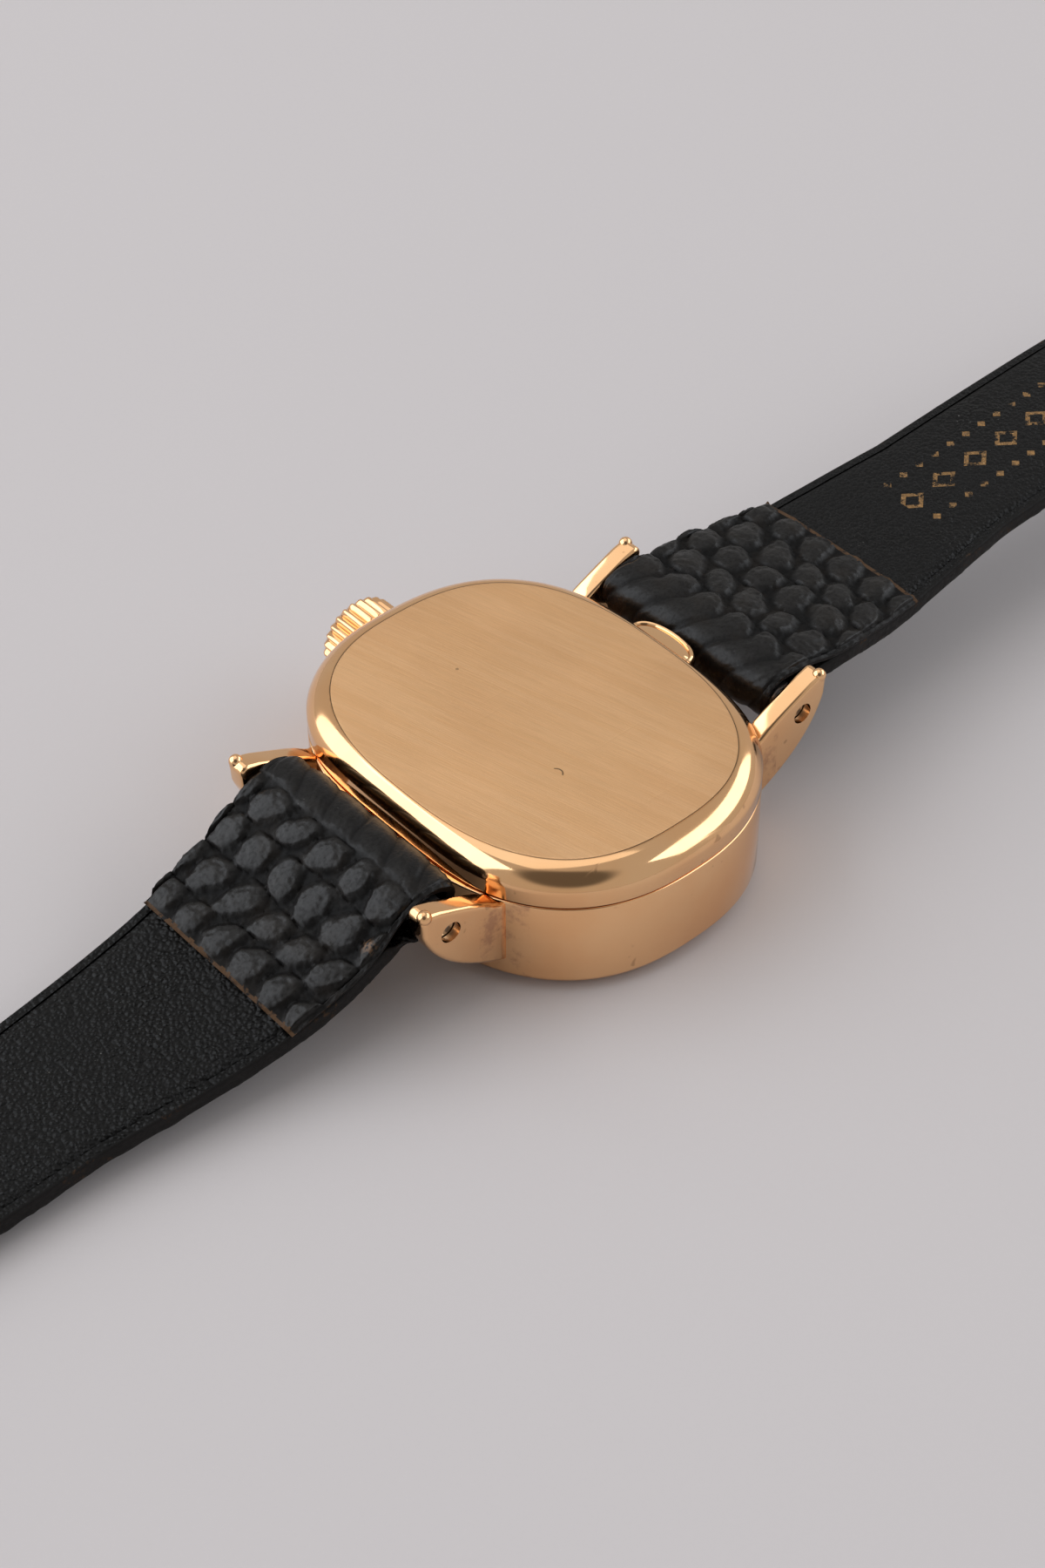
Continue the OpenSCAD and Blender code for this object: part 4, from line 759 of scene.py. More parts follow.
def make_lugs():
    """One lug cut out of a side view, rounded and copied to the four corners."""
    tip, nose, nose_r = Vector((13.85, 7.1)), Vector((13.38, 7.5)), 0.42
    start, knee = Vector((8.4, 1.6)), Vector((13.2, 3.6))
    bead_spot, bead_r, rounding = (13.46, 7.45, 7.74), 0.38, 0.26
    shares = [t / 14 for t in range(14)]
    under = [mix(mix(start, knee, t), mix(knee, tip, t), t) for t in shares]
    top = [Vector(p) for p in ((12.6, 7.7), (11.8, 7.34), (10.9, 6.93), (10.2, 6.6), (9.6, 6.27),
                               (9.15, 5.95), (8.85, 5.77), (8.4, 5.77))]
    outline = under + arc(nose, nose_r, -20, 115, 9) + top
    bm = bmesh.new()
    face = bm.faces.new([bm.verts.new((p.x, LUG_IN, p.y)) for p in outline])
    far_side = bmesh.ops.extrude_face_region(bm, geom=[face])["geom"]
    bmesh.ops.translate(bm, vec=(0, LUG_T, 0), verts=verts_of(far_side))
    bmesh.ops.recalc_face_normals(bm, faces=bm.faces)
    rim = [e for e in bm.edges
           if abs(e.verts[0].co.y - e.verts[1].co.y) < 1e-6 and e.calc_face_angle(0) > 0.6]
    bmesh.ops.bevel(bm, geom=rim, offset=rounding, segments=6, profile=0.5, affect="EDGES", material=-1,
                    clamp_overlap=True)
    bead = bmesh.ops.create_uvsphere(bm, u_segments=32, v_segments=20, radius=bead_r)["verts"]
    bmesh.ops.translate(bm, vec=bead_spot, verts=bead)
    first = bm.verts[:] + bm.edges[:] + bm.faces[:]
    for flip in ((-1, 1, 1), (1, -1, 1), (-1, -1, 1)):
        copied = bmesh.ops.duplicate(bm, geom=first)["geom"]
        bmesh.ops.scale(bm, vec=flip, verts=verts_of(copied))
    lugs = piece(bm, "case_lugs", "case", [polished_gold()], ["case_middle"])
    drilled(lugs, [((s * BAR.x, -9, BAR.y), (s * BAR.x, 9, BAR.y), BAR_HOLE_R) for s in (-1, 1)],
            crossed=True)


def make_bezel():
    turns = [i * math.pi / 16 for i in range(9)]
    profile = ([(1.4 - 1.3 * math.cos(t), BAND_LOW - 0.62 * math.sin(t)) for t in turns]
               + [(1.92, 0.18), (2.0, 0.26), (2.0, 1.5), (2.4, 1.5), (2.4, 2.1), (1.0, 2.1), (1.0, 0.8)])
    bm = bmesh.new()
    swept(bm, [at_inset(*p) for p in profile], closed=True)
    piece(bm, "bezel_rim", "case", [polished_gold()], ["bezel"])


def make_crystal():
    profile = [(2.55, 0.0), (2.4, 0.012), (2.27, 0.06), (2.16, 0.14), (2.07, 0.27), (2.02, 0.45),
               (2.01, 1.49), (2.44, 1.49), (2.44, 0.85), (2.5, 0.78), (2.6, 0.75)]
    bm = bmesh.new()
    swept(bm, [at_inset(*p) for p in profile])
    piece(bm, "domed_crystal", "case", [crystal_glass()], ["crystal"])


def face_edge(turn):
    """Outline of the back's brushed face."""
    return oval(turn, SHOULDER, FULLNESS + 0.15)


def shoulder_ring(t):
    """The polished shoulder, from its foot at 0 to the edge of the brushed face at 1."""
    low, top = math.radians(22), math.radians(82)
    angle = mix(low, top, t)
    share = (math.cos(angle) - math.cos(top)) / (math.cos(low) - math.cos(top))
    rise = (math.sin(angle) - math.sin(low)) / (math.sin(top) - math.sin(low))
    z = mix(SHOULDER_LOW, BACK_TOP - 0.02, rise)

    def ring(turn):
        (ax, ay), (bx, by) = face_edge(turn), skirt(turn)
        return mix(ax, bx, share), mix(ay, by, share), z
    return ring


def shrunk(outline, share, z):
    return lambda turn: (*(c * share for c in outline(turn)), z)


def moon(grow, z):
    """Outline of the half-moon lip, grown by a distance."""
    half = LIP_HALF + grow

    def ring(turn):
        if turn > math.pi:
            return LIP_X, half * (1 - 2 * (turn / math.pi - 1)), z
        t = turn - math.pi / 2
        return LIP_X + (LIP_REACH + grow) * max(0.0, math.cos(t)) ** 0.65, half * math.sin(t), z
    return ring


def make_back():
    """The brushed face, a line of painted shade round it, the polished shoulder, the wall inside and the lip.
    """
    edge, low = bpy.context.scene.watch_case.edge / MM, SEAM + 0.07
    face = [shrunk(face_edge, share, BACK_TOP) for share in (0.3, 0.6, 0.85, 0.96, 0.985, 0.9945)]
    face.append(shrunk(face_edge, 1.0, BACK_TOP - 0.012))
    shoulder = [shoulder_ring(1 - i / 18) for i in range(19)]
    foot = [shrunk(skirt, *p) for p in (
        (1.0, SHOULDER_LOW - 0.12), (1.0, low + edge), (0.999, low + 0.5 * edge), (0.995, low + 0.1 * edge),
        (0.989, low))]
    rim = [at_inset(*p) for p in (
        (1.04, low), (1.04, 5.2), (1.14, 5.1), (1.54, 5.1), (1.54, 7.3), (1.7, 7.4))]
    # The ring at the edge of the brushed face is painted shade: the polished gold at 0.3 of its colour
    line = len(face) - 2
    bm = bmesh.new()
    swept(bm, face + shoulder + foot + rim, 240,
          paint=lambda i, k: 2 if i == line else 1 if -1 <= i < line else 0)
    lip = [(-0.1, 7.0), (-0.03, 7.05), (0, 7.15), (0, 7.5), (-0.03, 7.62), (-0.09, 7.71), (-0.17, 7.75),
           (-0.25, 7.72), (-0.3, 7.64), (-0.36, 7.66), (-0.5, 7.73), (-0.7, 7.78), (-0.95, 7.8)]
    swept(bm, [moon(*p) for p in lip], 96)
    piece(bm, "press_fit_back", "back", [polished_gold(), brushed_gold(), polished_gold(0.3)],
          ["case_back"], sharp=24)


def make_crown():
    look = bpy.context.scene.watch_case
    ribs, depth = look.ribs, look.rib_depth / MM

    def ring(r, u, ribbed=0.0):
        def at(turn):
            cut = depth * ribbed * (1 - abs(math.cos(ribs * turn / 2))) ** 0.8
            return (r - cut) * math.cos(turn), CROWN_LOW + u, STEM_Z + (r - cut) * math.sin(turn)
        return at
    # Each step is a radius from the crown's own, a distance along the stem and how deep the ribs are
    profile = [(-0.4, 0.0, 0), (-0.28, 0.02, 0.3), (-0.15, 0.08, 0.7), (-0.06, 0.16, 0.95), (0, 0.28, 1),
               (0, 0.8, 1), (0, 1.3, 1), (0, 1.8, 1), (-0.05, 1.93, 1), (-0.13, 2.03, 0.85),
               (-0.25, 2.1, 0.5), (-0.4, 2.15, 0.1), (-0.5, 2.16, 0), (-0.95, 2.24, 0), (-1.45, 2.28, 0),
               (-1.95, 2.3, 0)]
    rings = [ring(0.44, 0.95), ring(1.0, 0.95), ring(1.0, 0.0)]
    rings += [ring(CROWN_R + r, u, ribbed) for r, u, ribbed in profile]
    bm = bmesh.new()
    swept(bm, rings, ribs * 8)
    # The crown's gold is painted 2% lighter, as painted light
    piece(bm, "ribbed_crown", "stem", [polished_gold(1.02)], ["crown"], sharp=50)


# Pieces of the strap

def scale_height(along, across, ribs=0.0):
    """Height of the lizard skin, 1 on top of a scale and 0 in the deepest groove.
    Rows of long scales lie in brick order, and draw out to slanting ribs where ribs is 1."""
    look = bpy.context.scene.watch_strap
    pitch_s, pitch_a = look.scale_length / MM, look.scale_width / MM
    p = along / pitch_s + 0.16 * noise.noise((across * 0.4, along * 0.3, 2.0))
    row = math.floor(p)
    v = 2 * (p - row) - 1
    q = across / pitch_a + 0.5 * (row % 2) + 0.22 * noise.noise((along * 0.4, across * 0.35, 9.0))
    column = math.floor(q)
    u = 2 * (q - column) - 1
    # Each scale is a little shifted and has its own size
    jog = noise.noise((row * 3.7, column * 5.3, 4.0))
    size = 1 + 0.14 * noise.noise((row * 2.3, column * 7.1, 8.0))
    wide, tall = abs(u - 0.1 * jog + 0.22 * v) / size, abs(v - 0.05 * jog) / 1.3
    d = (wide ** 1.9 + tall ** 1.6) ** (1 / 1.75) + 0.12 * noise.noise((along * 1.3, across * 1.3, 7.0))
    dome = 1 - ease(d, 0.6, 1.12)
    ring = math.exp(-((d - 0.5 + 0.1 * jog) / 0.16) ** 2)
    crinkle = (noise.noise((along * 3.1, across * 3.1, 5.0)) * 0.12
               + noise.noise((along * 7, across * 7, 1.0)) * 0.09)
    line = math.exp(-((1 - abs(v)) * pitch_s / 0.1) ** 2)
    net = math.exp(-((d - 1.08) / 0.07) ** 2)
    height = (0.2 + crinkle * (1.3 - 0.4 * dome) + 0.84 * dome * (1 - 0.5 * d * d) - 0.08 * ring * dome
              - 0.12 * line - 0.1 * net)
    if ribs > 0:
        slant = (across - 0.5 * along) / pitch_a + 0.5 + 0.1 * noise.noise((along * 0.6, across * 0.5, 6.0))
        ridge = abs(math.sin(math.pi * slant)) ** 0.5
        fibre = noise.noise((slant * 9, along * 0.7, 3.0))
        height = mix(height, 0.3 + 0.42 * ridge + 0.1 * fibre, ribs)
    return max(0.0, min(1.0, height))


def wrapped(q):
    """The turned edge of the leather: side bend, side, top bend and border, q from 0 to 1.
    Gives the place across and up, and the outward direction."""
    r1, r2, high, over = EDGE_R, 0.3, 2 * HALF_STACK, 0.42
    spans = [r1 * math.pi / 2, high - r1 - r2, r2 * math.pi / 2, over]
    at = q * sum(spans)
    if at <= spans[0]:
        t = at / r1
        return -r1 + r1 * math.sin(t), r1 - r1 * math.cos(t), math.sin(t), -math.cos(t)
    at -= spans[0]
    if at <= spans[1]:
        return 0.0, r1 + at, 1.0, 0.0
    at -= spans[1]
    if at <= spans[2]:
        t = at / r2
        return -r2 + r2 * math.cos(t), high - r2 + r2 * math.sin(t), math.cos(t), math.sin(t)
    at -= spans[2]
    return -r2 - at, high, 0.0, 1.0


def across_sheet(u, w, turn_in):
    """A point of the leather's section, u from -1 to 1, with its edges turned in where turn_in is 1.
    Gives the place across and up, and the outward direction."""
    if abs(u) <= FLAT_SHARE:
        y = u / FLAT_SHARE * mix(0.93 * w, w - EDGE_R, turn_in)
        return y, mix(0.12 * ease(abs(u), 0.55, FLAT_SHARE), 0.0, turn_in), 0.0, -1.0
    side = -1 if u < 0 else 1
    q = (abs(u) - FLAT_SHARE) / (1 - FLAT_SHARE)
    dy, h, ny, nh = wrapped(q)
    droop = 0.12 + 0.14 * q
    ny, nh = mix(0.35 * q * q, ny, turn_in), mix(-1.0, nh, turn_in)
    size = math.hypot(ny, nh) or 1.0
    return (side * mix(mix(0.93 * w, w, q), w + dy, turn_in), mix(droop, h, turn_in),
            side * ny / size, nh / size)


def open_slot(bm, start, stop, half):
    """Cuts a slot through both walls of a sheet and closes it round the cut."""
    middles = [(f, f.calc_center_median()) for f in bm.faces]
    gone = [f for f, middle in middles if start < middle.x < stop and abs(middle.y) < half]
    bmesh.ops.delete(bm, geom=gone, context="FACES")
    rim = [e for e in bm.edges if e.is_boundary]
    for f in bmesh.ops.bridge_loops(bm, edges=rim)["faces"]:
        f.material_index = 1


def leather_piece(half, flip, line, width, marks, spacing, sheet_columns, slot=None):
    """The lizard leather of a strap half, from the cut end of its flap round the bar to its far end.
    marks are the distances at which the loop starts and ends and the turned edges end."""
    look = bpy.context.scene.watch_strap
    stations = even(line, spacing)
    spots = [p for p, _ in stations]
    rows = len(stations) - 1
    outward = [Vector((d.y, -d.x)) for d in (heading(spots, i) for i in range(rows + 1))]
    loop_from, loop_to, edge_to = marks
    # Columns run along the outer wall, then back along the inner one
    inner_columns = 20
    columns = sheet_columns + inner_columns + 2
    heights, points = {}, {}
    for i, (p, s) in enumerate(stations):
        w = width(p.x)
        ribs = ease(s, loop_from - 0.9, loop_from + 0.3) * (1 - ease(s, loop_to - 0.6, loop_to + 0.4))
        turn_in = ease(s, loop_to + 0.9, loop_to + 2.6) * (1 - ease(s, edge_to - 2.0, edge_to))
        in_loop = ease(s, loop_from - 1.0, loop_from + 0.5) * (1 - ease(s, loop_to - 0.5, loop_to + 1.0))
        thick = mix(0.5, 0.62, in_loop)
        if s < 1.5:
            thick = mix(0.3, thick, ease(s, 0.0, 1.5))
        if s > edge_to:
            thick = 0.45
        inside = []
        for k in range(sheet_columns + 1):
            u = 2 * k / sheet_columns - 1
            y, h, ny, nh = across_sheet(u, w, turn_in)
            top = scale_height(s, u * w * mix(1.0, 1.12, turn_in) + 0.45, ribs)
            # The turned edges and the rubbed side of the flap have no scales
            calm = turn_in * ease(abs(u), FLAT_SHARE - 0.03, FLAT_SHARE + 0.06)
            calm = max(calm, (1 - turn_in) * ease(-u, 0.86, 0.9))
            if calm:
                fine = noise.noise((s * 2.2, y * 2.2 + h, 7.0))
                fine += 0.5 * noise.noise((s * 6, y * 6 + h * 3, 2.0))
                top = mix(top, 0.5 + 0.14 * fine, calm)
            thin = thick if abs(u) <= FLAT_SHARE else mix(thick, 0.24, turn_in)
            depth = min(look.relief / MM * (1 - top), thin - 0.07)
            points[i, k], heights[i, k] = (y - ny * depth, h - nh * depth), top
            inside.append((y - ny * thin, h - nh * thin))
        for j in range(inner_columns + 1):
            k = sheet_columns + 1 + j
            points[i, k] = inside[round(sheet_columns * (1 - j / inner_columns))]
            heights[i, k] = 0.5
        points[i, columns], heights[i, columns] = points[i, 0], heights[i, 0]

    def place(i, k):
        y, h = points[i, k]
        p, n = spots[i], outward[i]
        return Vector((flip * (p.x - n.x * h), y, p.y - n.y * h))

    def paint(i, k):
        s = stations[i][1]
        if s < 0.17 + 0.12 * noise.noise((k * 0.21, 3.0, 1.0)):
            return 1
        side = abs(2 * (k + 0.5) / sheet_columns - 1)
        if k >= sheet_columns:
            return 2 if k in (sheet_columns, columns - 1) and s < loop_to else 3
        if side < FLAT_SHARE + 0.012 or s < loop_to + 1.6 or s > edge_to:
            return 0
        return 2 if side < FLAT_SHARE + 0.8 * (1 - FLAT_SHARE) else 3
    bm = bmesh.new()
    verts = skin(bm, rows, columns, place, paint,
                 uv=lambda i, k: (stations[i][1] / 10, k / sheet_columns), keep=heights)
    close_ends(bm, verts, 1)
    if slot:
        open_slot(bm, *slot)
    return piece(bm, half + "_leather", half + "_strap",
                 [lizard_leather(), cut_leather(), edge_leather(), grained_lining()],
                 [half + "_strap_leather"], sharp=75)


def slab_piece(name, half, layer, flip, route, heights, start, stop, width, material, crown=0.0):
    """A long layer of a strap half with softly rounded sides."""
    low, high = heights
    middle = part_of(beside(route, (low + high) / 2), start, stop)
    spots = [p for p, _ in even(middle, lambda p: 0.4 if p.x < 106 else 0.12)]
    rows, columns, reach = len(spots) - 1, 64, (high - low) / 2

    def place(i, k):
        turn = 2 * math.pi * k / columns
        c, s = math.cos(turn), math.sin(turn)
        w = max(0.3, width(spots[i].x))
        y, h = w * bulged(c, 0.25), reach * bulged(s, 0.5)
        if s > 0:
            h += crown * (1 - (y / w) ** 2) - 0.06 * ease(abs(y), w - 0.35, w)
            h += 0.012 * noise.noise((spots[i].x * 0.7, y * 0.7, 3.0))
        d = heading(spots, i)
        return Vector((flip * (spots[i].x - d.y * h), y, spots[i].y + d.x * h))
    bm = bmesh.new()
    close_ends(bm, skin(bm, rows, columns, place))
    return piece(bm, half + "_" + name, half + "_strap", [material], [half + "_strap_" + layer],
                 sharp=60)


def strap_layers(half, flip, route, width, lining, lining_stop, padding_stop):
    """The lining and the padding of a strap half."""
    return (slab_piece("lining", half, "lining", flip, route, LINING, LINING_FROM, lining_stop,
                       lambda x: width(x) - LINING_IN, lining, crown=0.03),
            slab_piece("padding", half, "core", flip, route, PADDING, PADDING_FROM, padding_stop,
                       lambda x: width(x) - PADDING_IN, cut_leather()))


def leather_line(route, flap_x, stop, hump, reach, rest, rounds):
    """Outer line of the leather: back along the flap and its hump, round the spring bar, along the
    underside to stop and then along rest. reach lists (angle, radius) round the bar.
    Gives the line and the distances at which the loop starts and ends and the underside ends."""
    top = part_of(beside(route, HALF_STACK + FLAP_T), 16.6, flap_x)
    top = [p - Vector((0, 0.2 * ease(p.x, flap_x - 1.6, flap_x))) for p in top]
    top = list(reversed(top)) + [Vector(p) for p in hump]
    loop = []
    for (a, r), (b, q) in zip(reach, reach[1:]):
        loop += [arc(BAR, mix(r, q, ease(t / 6)), mix(a, b, t / 6), 0, 1)[0] for t in range(6)]
    loop += arc(BAR, reach[-1][1], reach[-1][0], 0, 1)[:1]
    under = part_of(beside(route, -HALF_STACK), 14.5, stop)
    line = even(relaxed(top + loop + under + rest, 1), lambda p: 0.1)
    start = length_of(top + loop[:1])
    return (relaxed([p for p, _ in line], rounds),
            (start, start + length_of(loop), length_of(top + loop + under) - 0.5))


def make_lower_strap():
    route = smooth_route(LOWER_ROUTE)
    line, marks = leather_line(
        route, 21.0, 116.9, [(15.6, 6.15), (14.6, 7.15), (13.65, 7.75)],
        [(70, 2.12), (95, 2.08), (125, 2.16), (148, 2.3), (165, 2.04), (185, 1.72), (260, 1.65)], [], 24)

    def spacing(p):
        if p.x < 21.5 and p.y > 3.2:
            return 0.09
        return 0.16 if p.x < 24 or p.x > 107 else 0.36
    # The edges stay turned in as far as the tip
    leather = leather_piece("lower", -1, line, tail_half, (*marks[:2], FAR_AWAY), spacing, 150)
    lining, padding = strap_layers("lower", -1, route, tail_half, grained_lining(), 116.2, 116.0)
    rods = [((-x, 0, -0.9), (-x, 0, 2.9), HOLE_R) for x in range(FIRST_HOLE, HOLE_STOP, HOLE_PITCH)]
    for made in (leather, lining, padding):
        drilled(made, rods, 60)


def make_upper_strap():
    route = smooth_route(UPPER_ROUTE)
    tilt = math.degrees(SLOPE)
    eye = arc(BUCKLE, 1.05, -90 - tilt, 110 - tilt, 16)
    back = part_of(beside(route, HALF_STACK + LEATHER_T), BUCKLE.x - 13, BUCKLE.x - 2.8)
    line, marks = leather_line(
        route, 23.0, BUCKLE.x - 2.4, [(15.4, 7.6), (14.4, 7.95), (13.4, 8.05)],
        [(75, 2.1), (100, 2.05), (130, 2.03), (148, 1.93), (160, 1.77), (185, 1.68), (260, 1.65)],
        eye + list(reversed(back)), 16)
    leather_piece("upper", 1, line, half_width, marks,
                  lambda p: 0.11 if p.x < 23.5 else 0.15 if p.x > 75 else 0.36, 130, (76.3, 82.0, 1.2))
    strap_layers("upper", 1, route, half_width, grained_lining(True), BUCKLE.x - 3, BUCKLE.x - 3.5)


def rounded_box(half, low, high, r, steps=6):
    """Points and outward directions round a rounded rectangle, seen along the strap."""
    out = []
    for cy, cz, start in ((half - r, high - r, 0), (-half + r, high - r, 90), (-half + r, low + r, 180),
                          (half - r, low + r, 270)):
        for i in range(steps + 1):
            t = math.radians(start + 90 * i / steps)
            outward = Vector((math.cos(t), math.sin(t)))
            out.append((Vector((cy + r * math.cos(t), cz + r * math.sin(t))), outward))
    dense = []
    for (p, n), (q, m) in zip(out, out[1:] + out[:1]):
        parts = max(1, round((q - p).length / 0.4))
        dense += [(p.lerp(q, j / parts), n.lerp(m, j / parts).normalized()) for j in range(parts)]
    return dense


def make_keeper(name, body, x, fit, node):
    """A closed leather band across the strap, with fit as its play above and beside it."""
    look = bpy.context.scene.watch_strap
    t, wide, room = 0.6, 3.2, 1.6
    loop = rounded_box(END_HALF + fit + t / 2, -HALF_STACK - room - t / 2,
                       HALF_STACK + LEATHER_T + fit + t / 2, 0.55)
    rows, columns = len(loop), 40
    z0 = BUCKLE.y + (BUCKLE.x - x) * math.tan(SLOPE)
    heights, points = {}, {}
    for i in range(rows + 1):
        spot, out = loop[i % rows]
        for k in range(columns + 1):
            turn = 2 * math.pi * k / columns
            c, s = math.cos(turn), math.sin(turn)
            along, deep = wide / 2 * bulged(c, 0.3), t / 2 * bulged(s, 0.45)
            top = scale_height(along * 1.2 + 1.1, i * 0.36) if s > 0 else 0.6
            p = spot + out * (deep - 0.5 * look.relief / MM * (1 - top) * (s > 0))
            heights[i, k] = top
            points[i, k] = Vector((x + along * math.cos(SLOPE) + p.y * math.sin(SLOPE), p.x,
                                   z0 - along * math.sin(SLOPE) + p.y * math.cos(SLOPE)))
    bm = bmesh.new()
    skin(bm, rows, columns, lambda i, k: points[i % rows, k % columns], keep=heights)
    piece(bm, name, body, [lizard_leather()], [node], sharp=60)


# Buckle

def at_buckle(x, y, z):
    c, s = math.cos(FRAME_TILT), math.sin(FRAME_TILT)
    return Vector((BUCKLE.x + x * c + z * s, y, BUCKLE.y - x * s + z * c))


def make_buckle_frame():
    """A bar bent to a rounded frame, with a notch for the tongue."""
    half, front, rear, r = 5.95, 6.6, -0.75, 2.0
    path = [Vector((mix(rear, front - r, i / 14), half)) for i in range(14)]
    path += arc(Vector((front - r, half - r)), r, 90, 0, 12)
    path += [Vector((front, mix(half - r, -(half - r), i / 40))) for i in range(1, 40)]
    path += arc(Vector((front - r, -half + r)), r, 0, -90, 12)
    path += [Vector((mix(front - r, rear, i / 14), -half)) for i in range(1, 15)]
    rows, columns = len(path) - 1, 32

    def place(i, k):
        p, d = path[i], heading(path, i)
        swell = (0.55, 0.8, 0.94, 1.0)[min(i, rows - i, 3)]
        turn = 2 * math.pi * k / columns
        out, z = 0.6 * swell * bulged(math.cos(turn), 0.7), 0.75 * swell * bulged(math.sin(turn), 0.7)
        if abs(p.y) < 1.0 and p.x > 4:
            z = max(z, mix(0.15, -0.75, ease(abs(p.y), 0.72, 0.98)))
        spot = p + Vector((-d.y, d.x)) * out
        return at_buckle(spot.x, spot.y, z)
    bm = bmesh.new()
    close_ends(bm, skin(bm, rows, columns, place))
    piece(bm, "pin_buckle_frame", "buckle", [polished_gold()], ["buckle_frame"], sharp=50)


def make_tongue():
    """The pin, as (distance, height, half width, half thickness) along it, and its eye round the bar."""
    low = -0.73
    pin = [(0.75, 0.03, 0.5, 0.36), (1.3, -0.06, 0.5, 0.34), (2.5, -0.2, 0.5, 0.33), (4.0, -0.32, 0.48, 0.32),
           (5.5, low + 0.35, 0.44, 0.3), (6.4, low + 0.3, 0.38, 0.26), (6.8, low + 0.27, 0.26, 0.18),
           (6.93, low + 0.26, 0.12, 0.1)]
    turns = [2 * math.pi * i / 16 for i in range(16)]
    eye = [(0.74 + 0.18 * math.cos(t), 0.5 * bulged(math.sin(t), 0.6)) for t in turns]

    def pin_ring(x, z, wide, thick):
        return lambda turn: at_buckle(x, wide * bulged(math.cos(turn), 0.8),
                                      z + thick * bulged(math.sin(turn), 0.8))

    def eye_ring(r, y):
        return lambda turn: at_buckle(r * math.cos(turn), y, r * math.sin(turn))
    bm = bmesh.new()
    swept(bm, [pin_ring(*p) for p in pin], 32)
    swept(bm, [eye_ring(*p) for p in eye], 40, closed=True)
    piece(bm, "buckle_pin", "buckle_tongue", [polished_gold()], ["buckle_tongue"], sharp=45)


# Dial

def make_dial_print():
    """A minute track and plain five-minute dots, printed on the dial's face."""
    bm = bmesh.new()
    for minute in range(60):
        turn = math.radians(6 * minute)
        reach = math.hypot(*oval(turn, 2.75))
        if minute % 5:
            made = bmesh.ops.create_cube(bm, size=1.0)["verts"]
            bmesh.ops.scale(bm, vec=(0.45, 0.07, 0.02), verts=made)
        else:
            made = bmesh.ops.create_cone(bm, cap_ends=True, segments=16, radius1=0.16, radius2=0.15,
                                         depth=0.02)["verts"]
        spot = Matrix.Rotation(turn, 4, "Z") @ Matrix.Translation((reach - 0.1, 0, 2.09))
        bmesh.ops.transform(bm, verts=made, matrix=spot)
    piece(bm, "minute_track", "case", [dial_ink()], sharp=30)


def dress(material, slot, *nodes):
    """Gives CAD nodes their finish."""
    for node in nodes:
        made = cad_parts[node]
        made.data.materials.clear()
        made.data.materials.append(material)


def centre_of(node):
    low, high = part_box(node)
    middle = (low + high) / 2 / MM
    return round(middle.x, 3), round(middle.y, 3), 0.0


# Settings

class WatchCase(bpy.types.PropertyGroup):
    gold: FloatVectorProperty(name="Gold", description="Colour of the gold", subtype="COLOR",
                              default=(0.92, 0.56, 0.29), min=0, max=1)
    polish: FloatProperty(name="Polish", description="Roughness of the polished gold", subtype="FACTOR",
                          default=0.07, min=0.02, max=0.4)
    brushed_roughness: FloatProperty(name="Brushed roughness", description="Roughness of the brushed face",
                                     subtype="FACTOR", default=0.34, min=0.1, max=0.6)
    brush_turn: FloatProperty(name="Brush turn", description="Turn of the brushed lines from 9 to 3 o'clock",
                              subtype="ANGLE", default=math.radians(14.5))
    edge: FloatProperty(name="Edge", description="Radius of the rounded edges", unit="LENGTH",
                        default=0.0001)
    ribs: IntProperty(name="Crown ribs", description="Number of ribs on the crown", default=26, min=12,
                      max=40)
    rib_depth: FloatProperty(name="Rib depth", description="Depth of the crown's grooves", unit="LENGTH",
                             default=0.00024)


class WatchDial(bpy.types.PropertyGroup):
    dial: FloatVectorProperty(name="Dial", description="Colour of the dial", subtype="COLOR",
                              default=(0.80, 0.76, 0.66), min=0, max=1)
    ink: FloatVectorProperty(name="Ink", description="Colour of the minute track", subtype="COLOR",
                             default=(0.02, 0.02, 0.025), min=0, max=1)


class WatchMovement(bpy.types.PropertyGroup):
    nickel: FloatVectorProperty(name="Nickel", description="Colour of the plate and bridges", subtype="COLOR",
                                default=(0.66, 0.63, 0.56), min=0, max=1)
    brass: FloatVectorProperty(name="Brass", description="Colour of the wheels", subtype="COLOR",
                               default=(0.78, 0.58, 0.28), min=0, max=1)
    steel: FloatVectorProperty(name="Steel", description="Colour of the steel pieces", subtype="COLOR",
                               default=(0.60, 0.60, 0.61), min=0, max=1)
    blue: FloatVectorProperty(name="Blued steel", description="Colour of the screws and the hairspring",
                              subtype="COLOR", default=(0.03, 0.07, 0.30), min=0, max=1)


class WatchStrap(bpy.types.PropertyGroup):
    leather: FloatVectorProperty(name="Leather", description="Colour of the lizard leather", subtype="COLOR",
                                 default=(0.0058, 0.0048, 0.0043), min=0, max=1)
    lining: FloatVectorProperty(name="Lining", description="Colour of the lining", subtype="COLOR",
                                default=(0.005, 0.0047, 0.0045), min=0, max=1)
    raw: FloatVectorProperty(name="Cut edge", description="Colour of the cut leather", subtype="COLOR",
                             default=(0.085, 0.044, 0.02), min=0, max=1)
    gloss: FloatProperty(name="Scale roughness", description="Roughness on top of the scales",
                         subtype="FACTOR", default=0.33, min=0.1, max=0.8)
    scale_length: FloatProperty(name="Scale length", description="Distance between rows of scales",
                                unit="LENGTH", default=0.0022)
    scale_width: FloatProperty(name="Scale width", description="Distance between scales across the strap",
                               unit="LENGTH", default=0.00205)
    relief: FloatProperty(name="Relief", description="Depth between the scales", unit="LENGTH",
                          default=0.0004)


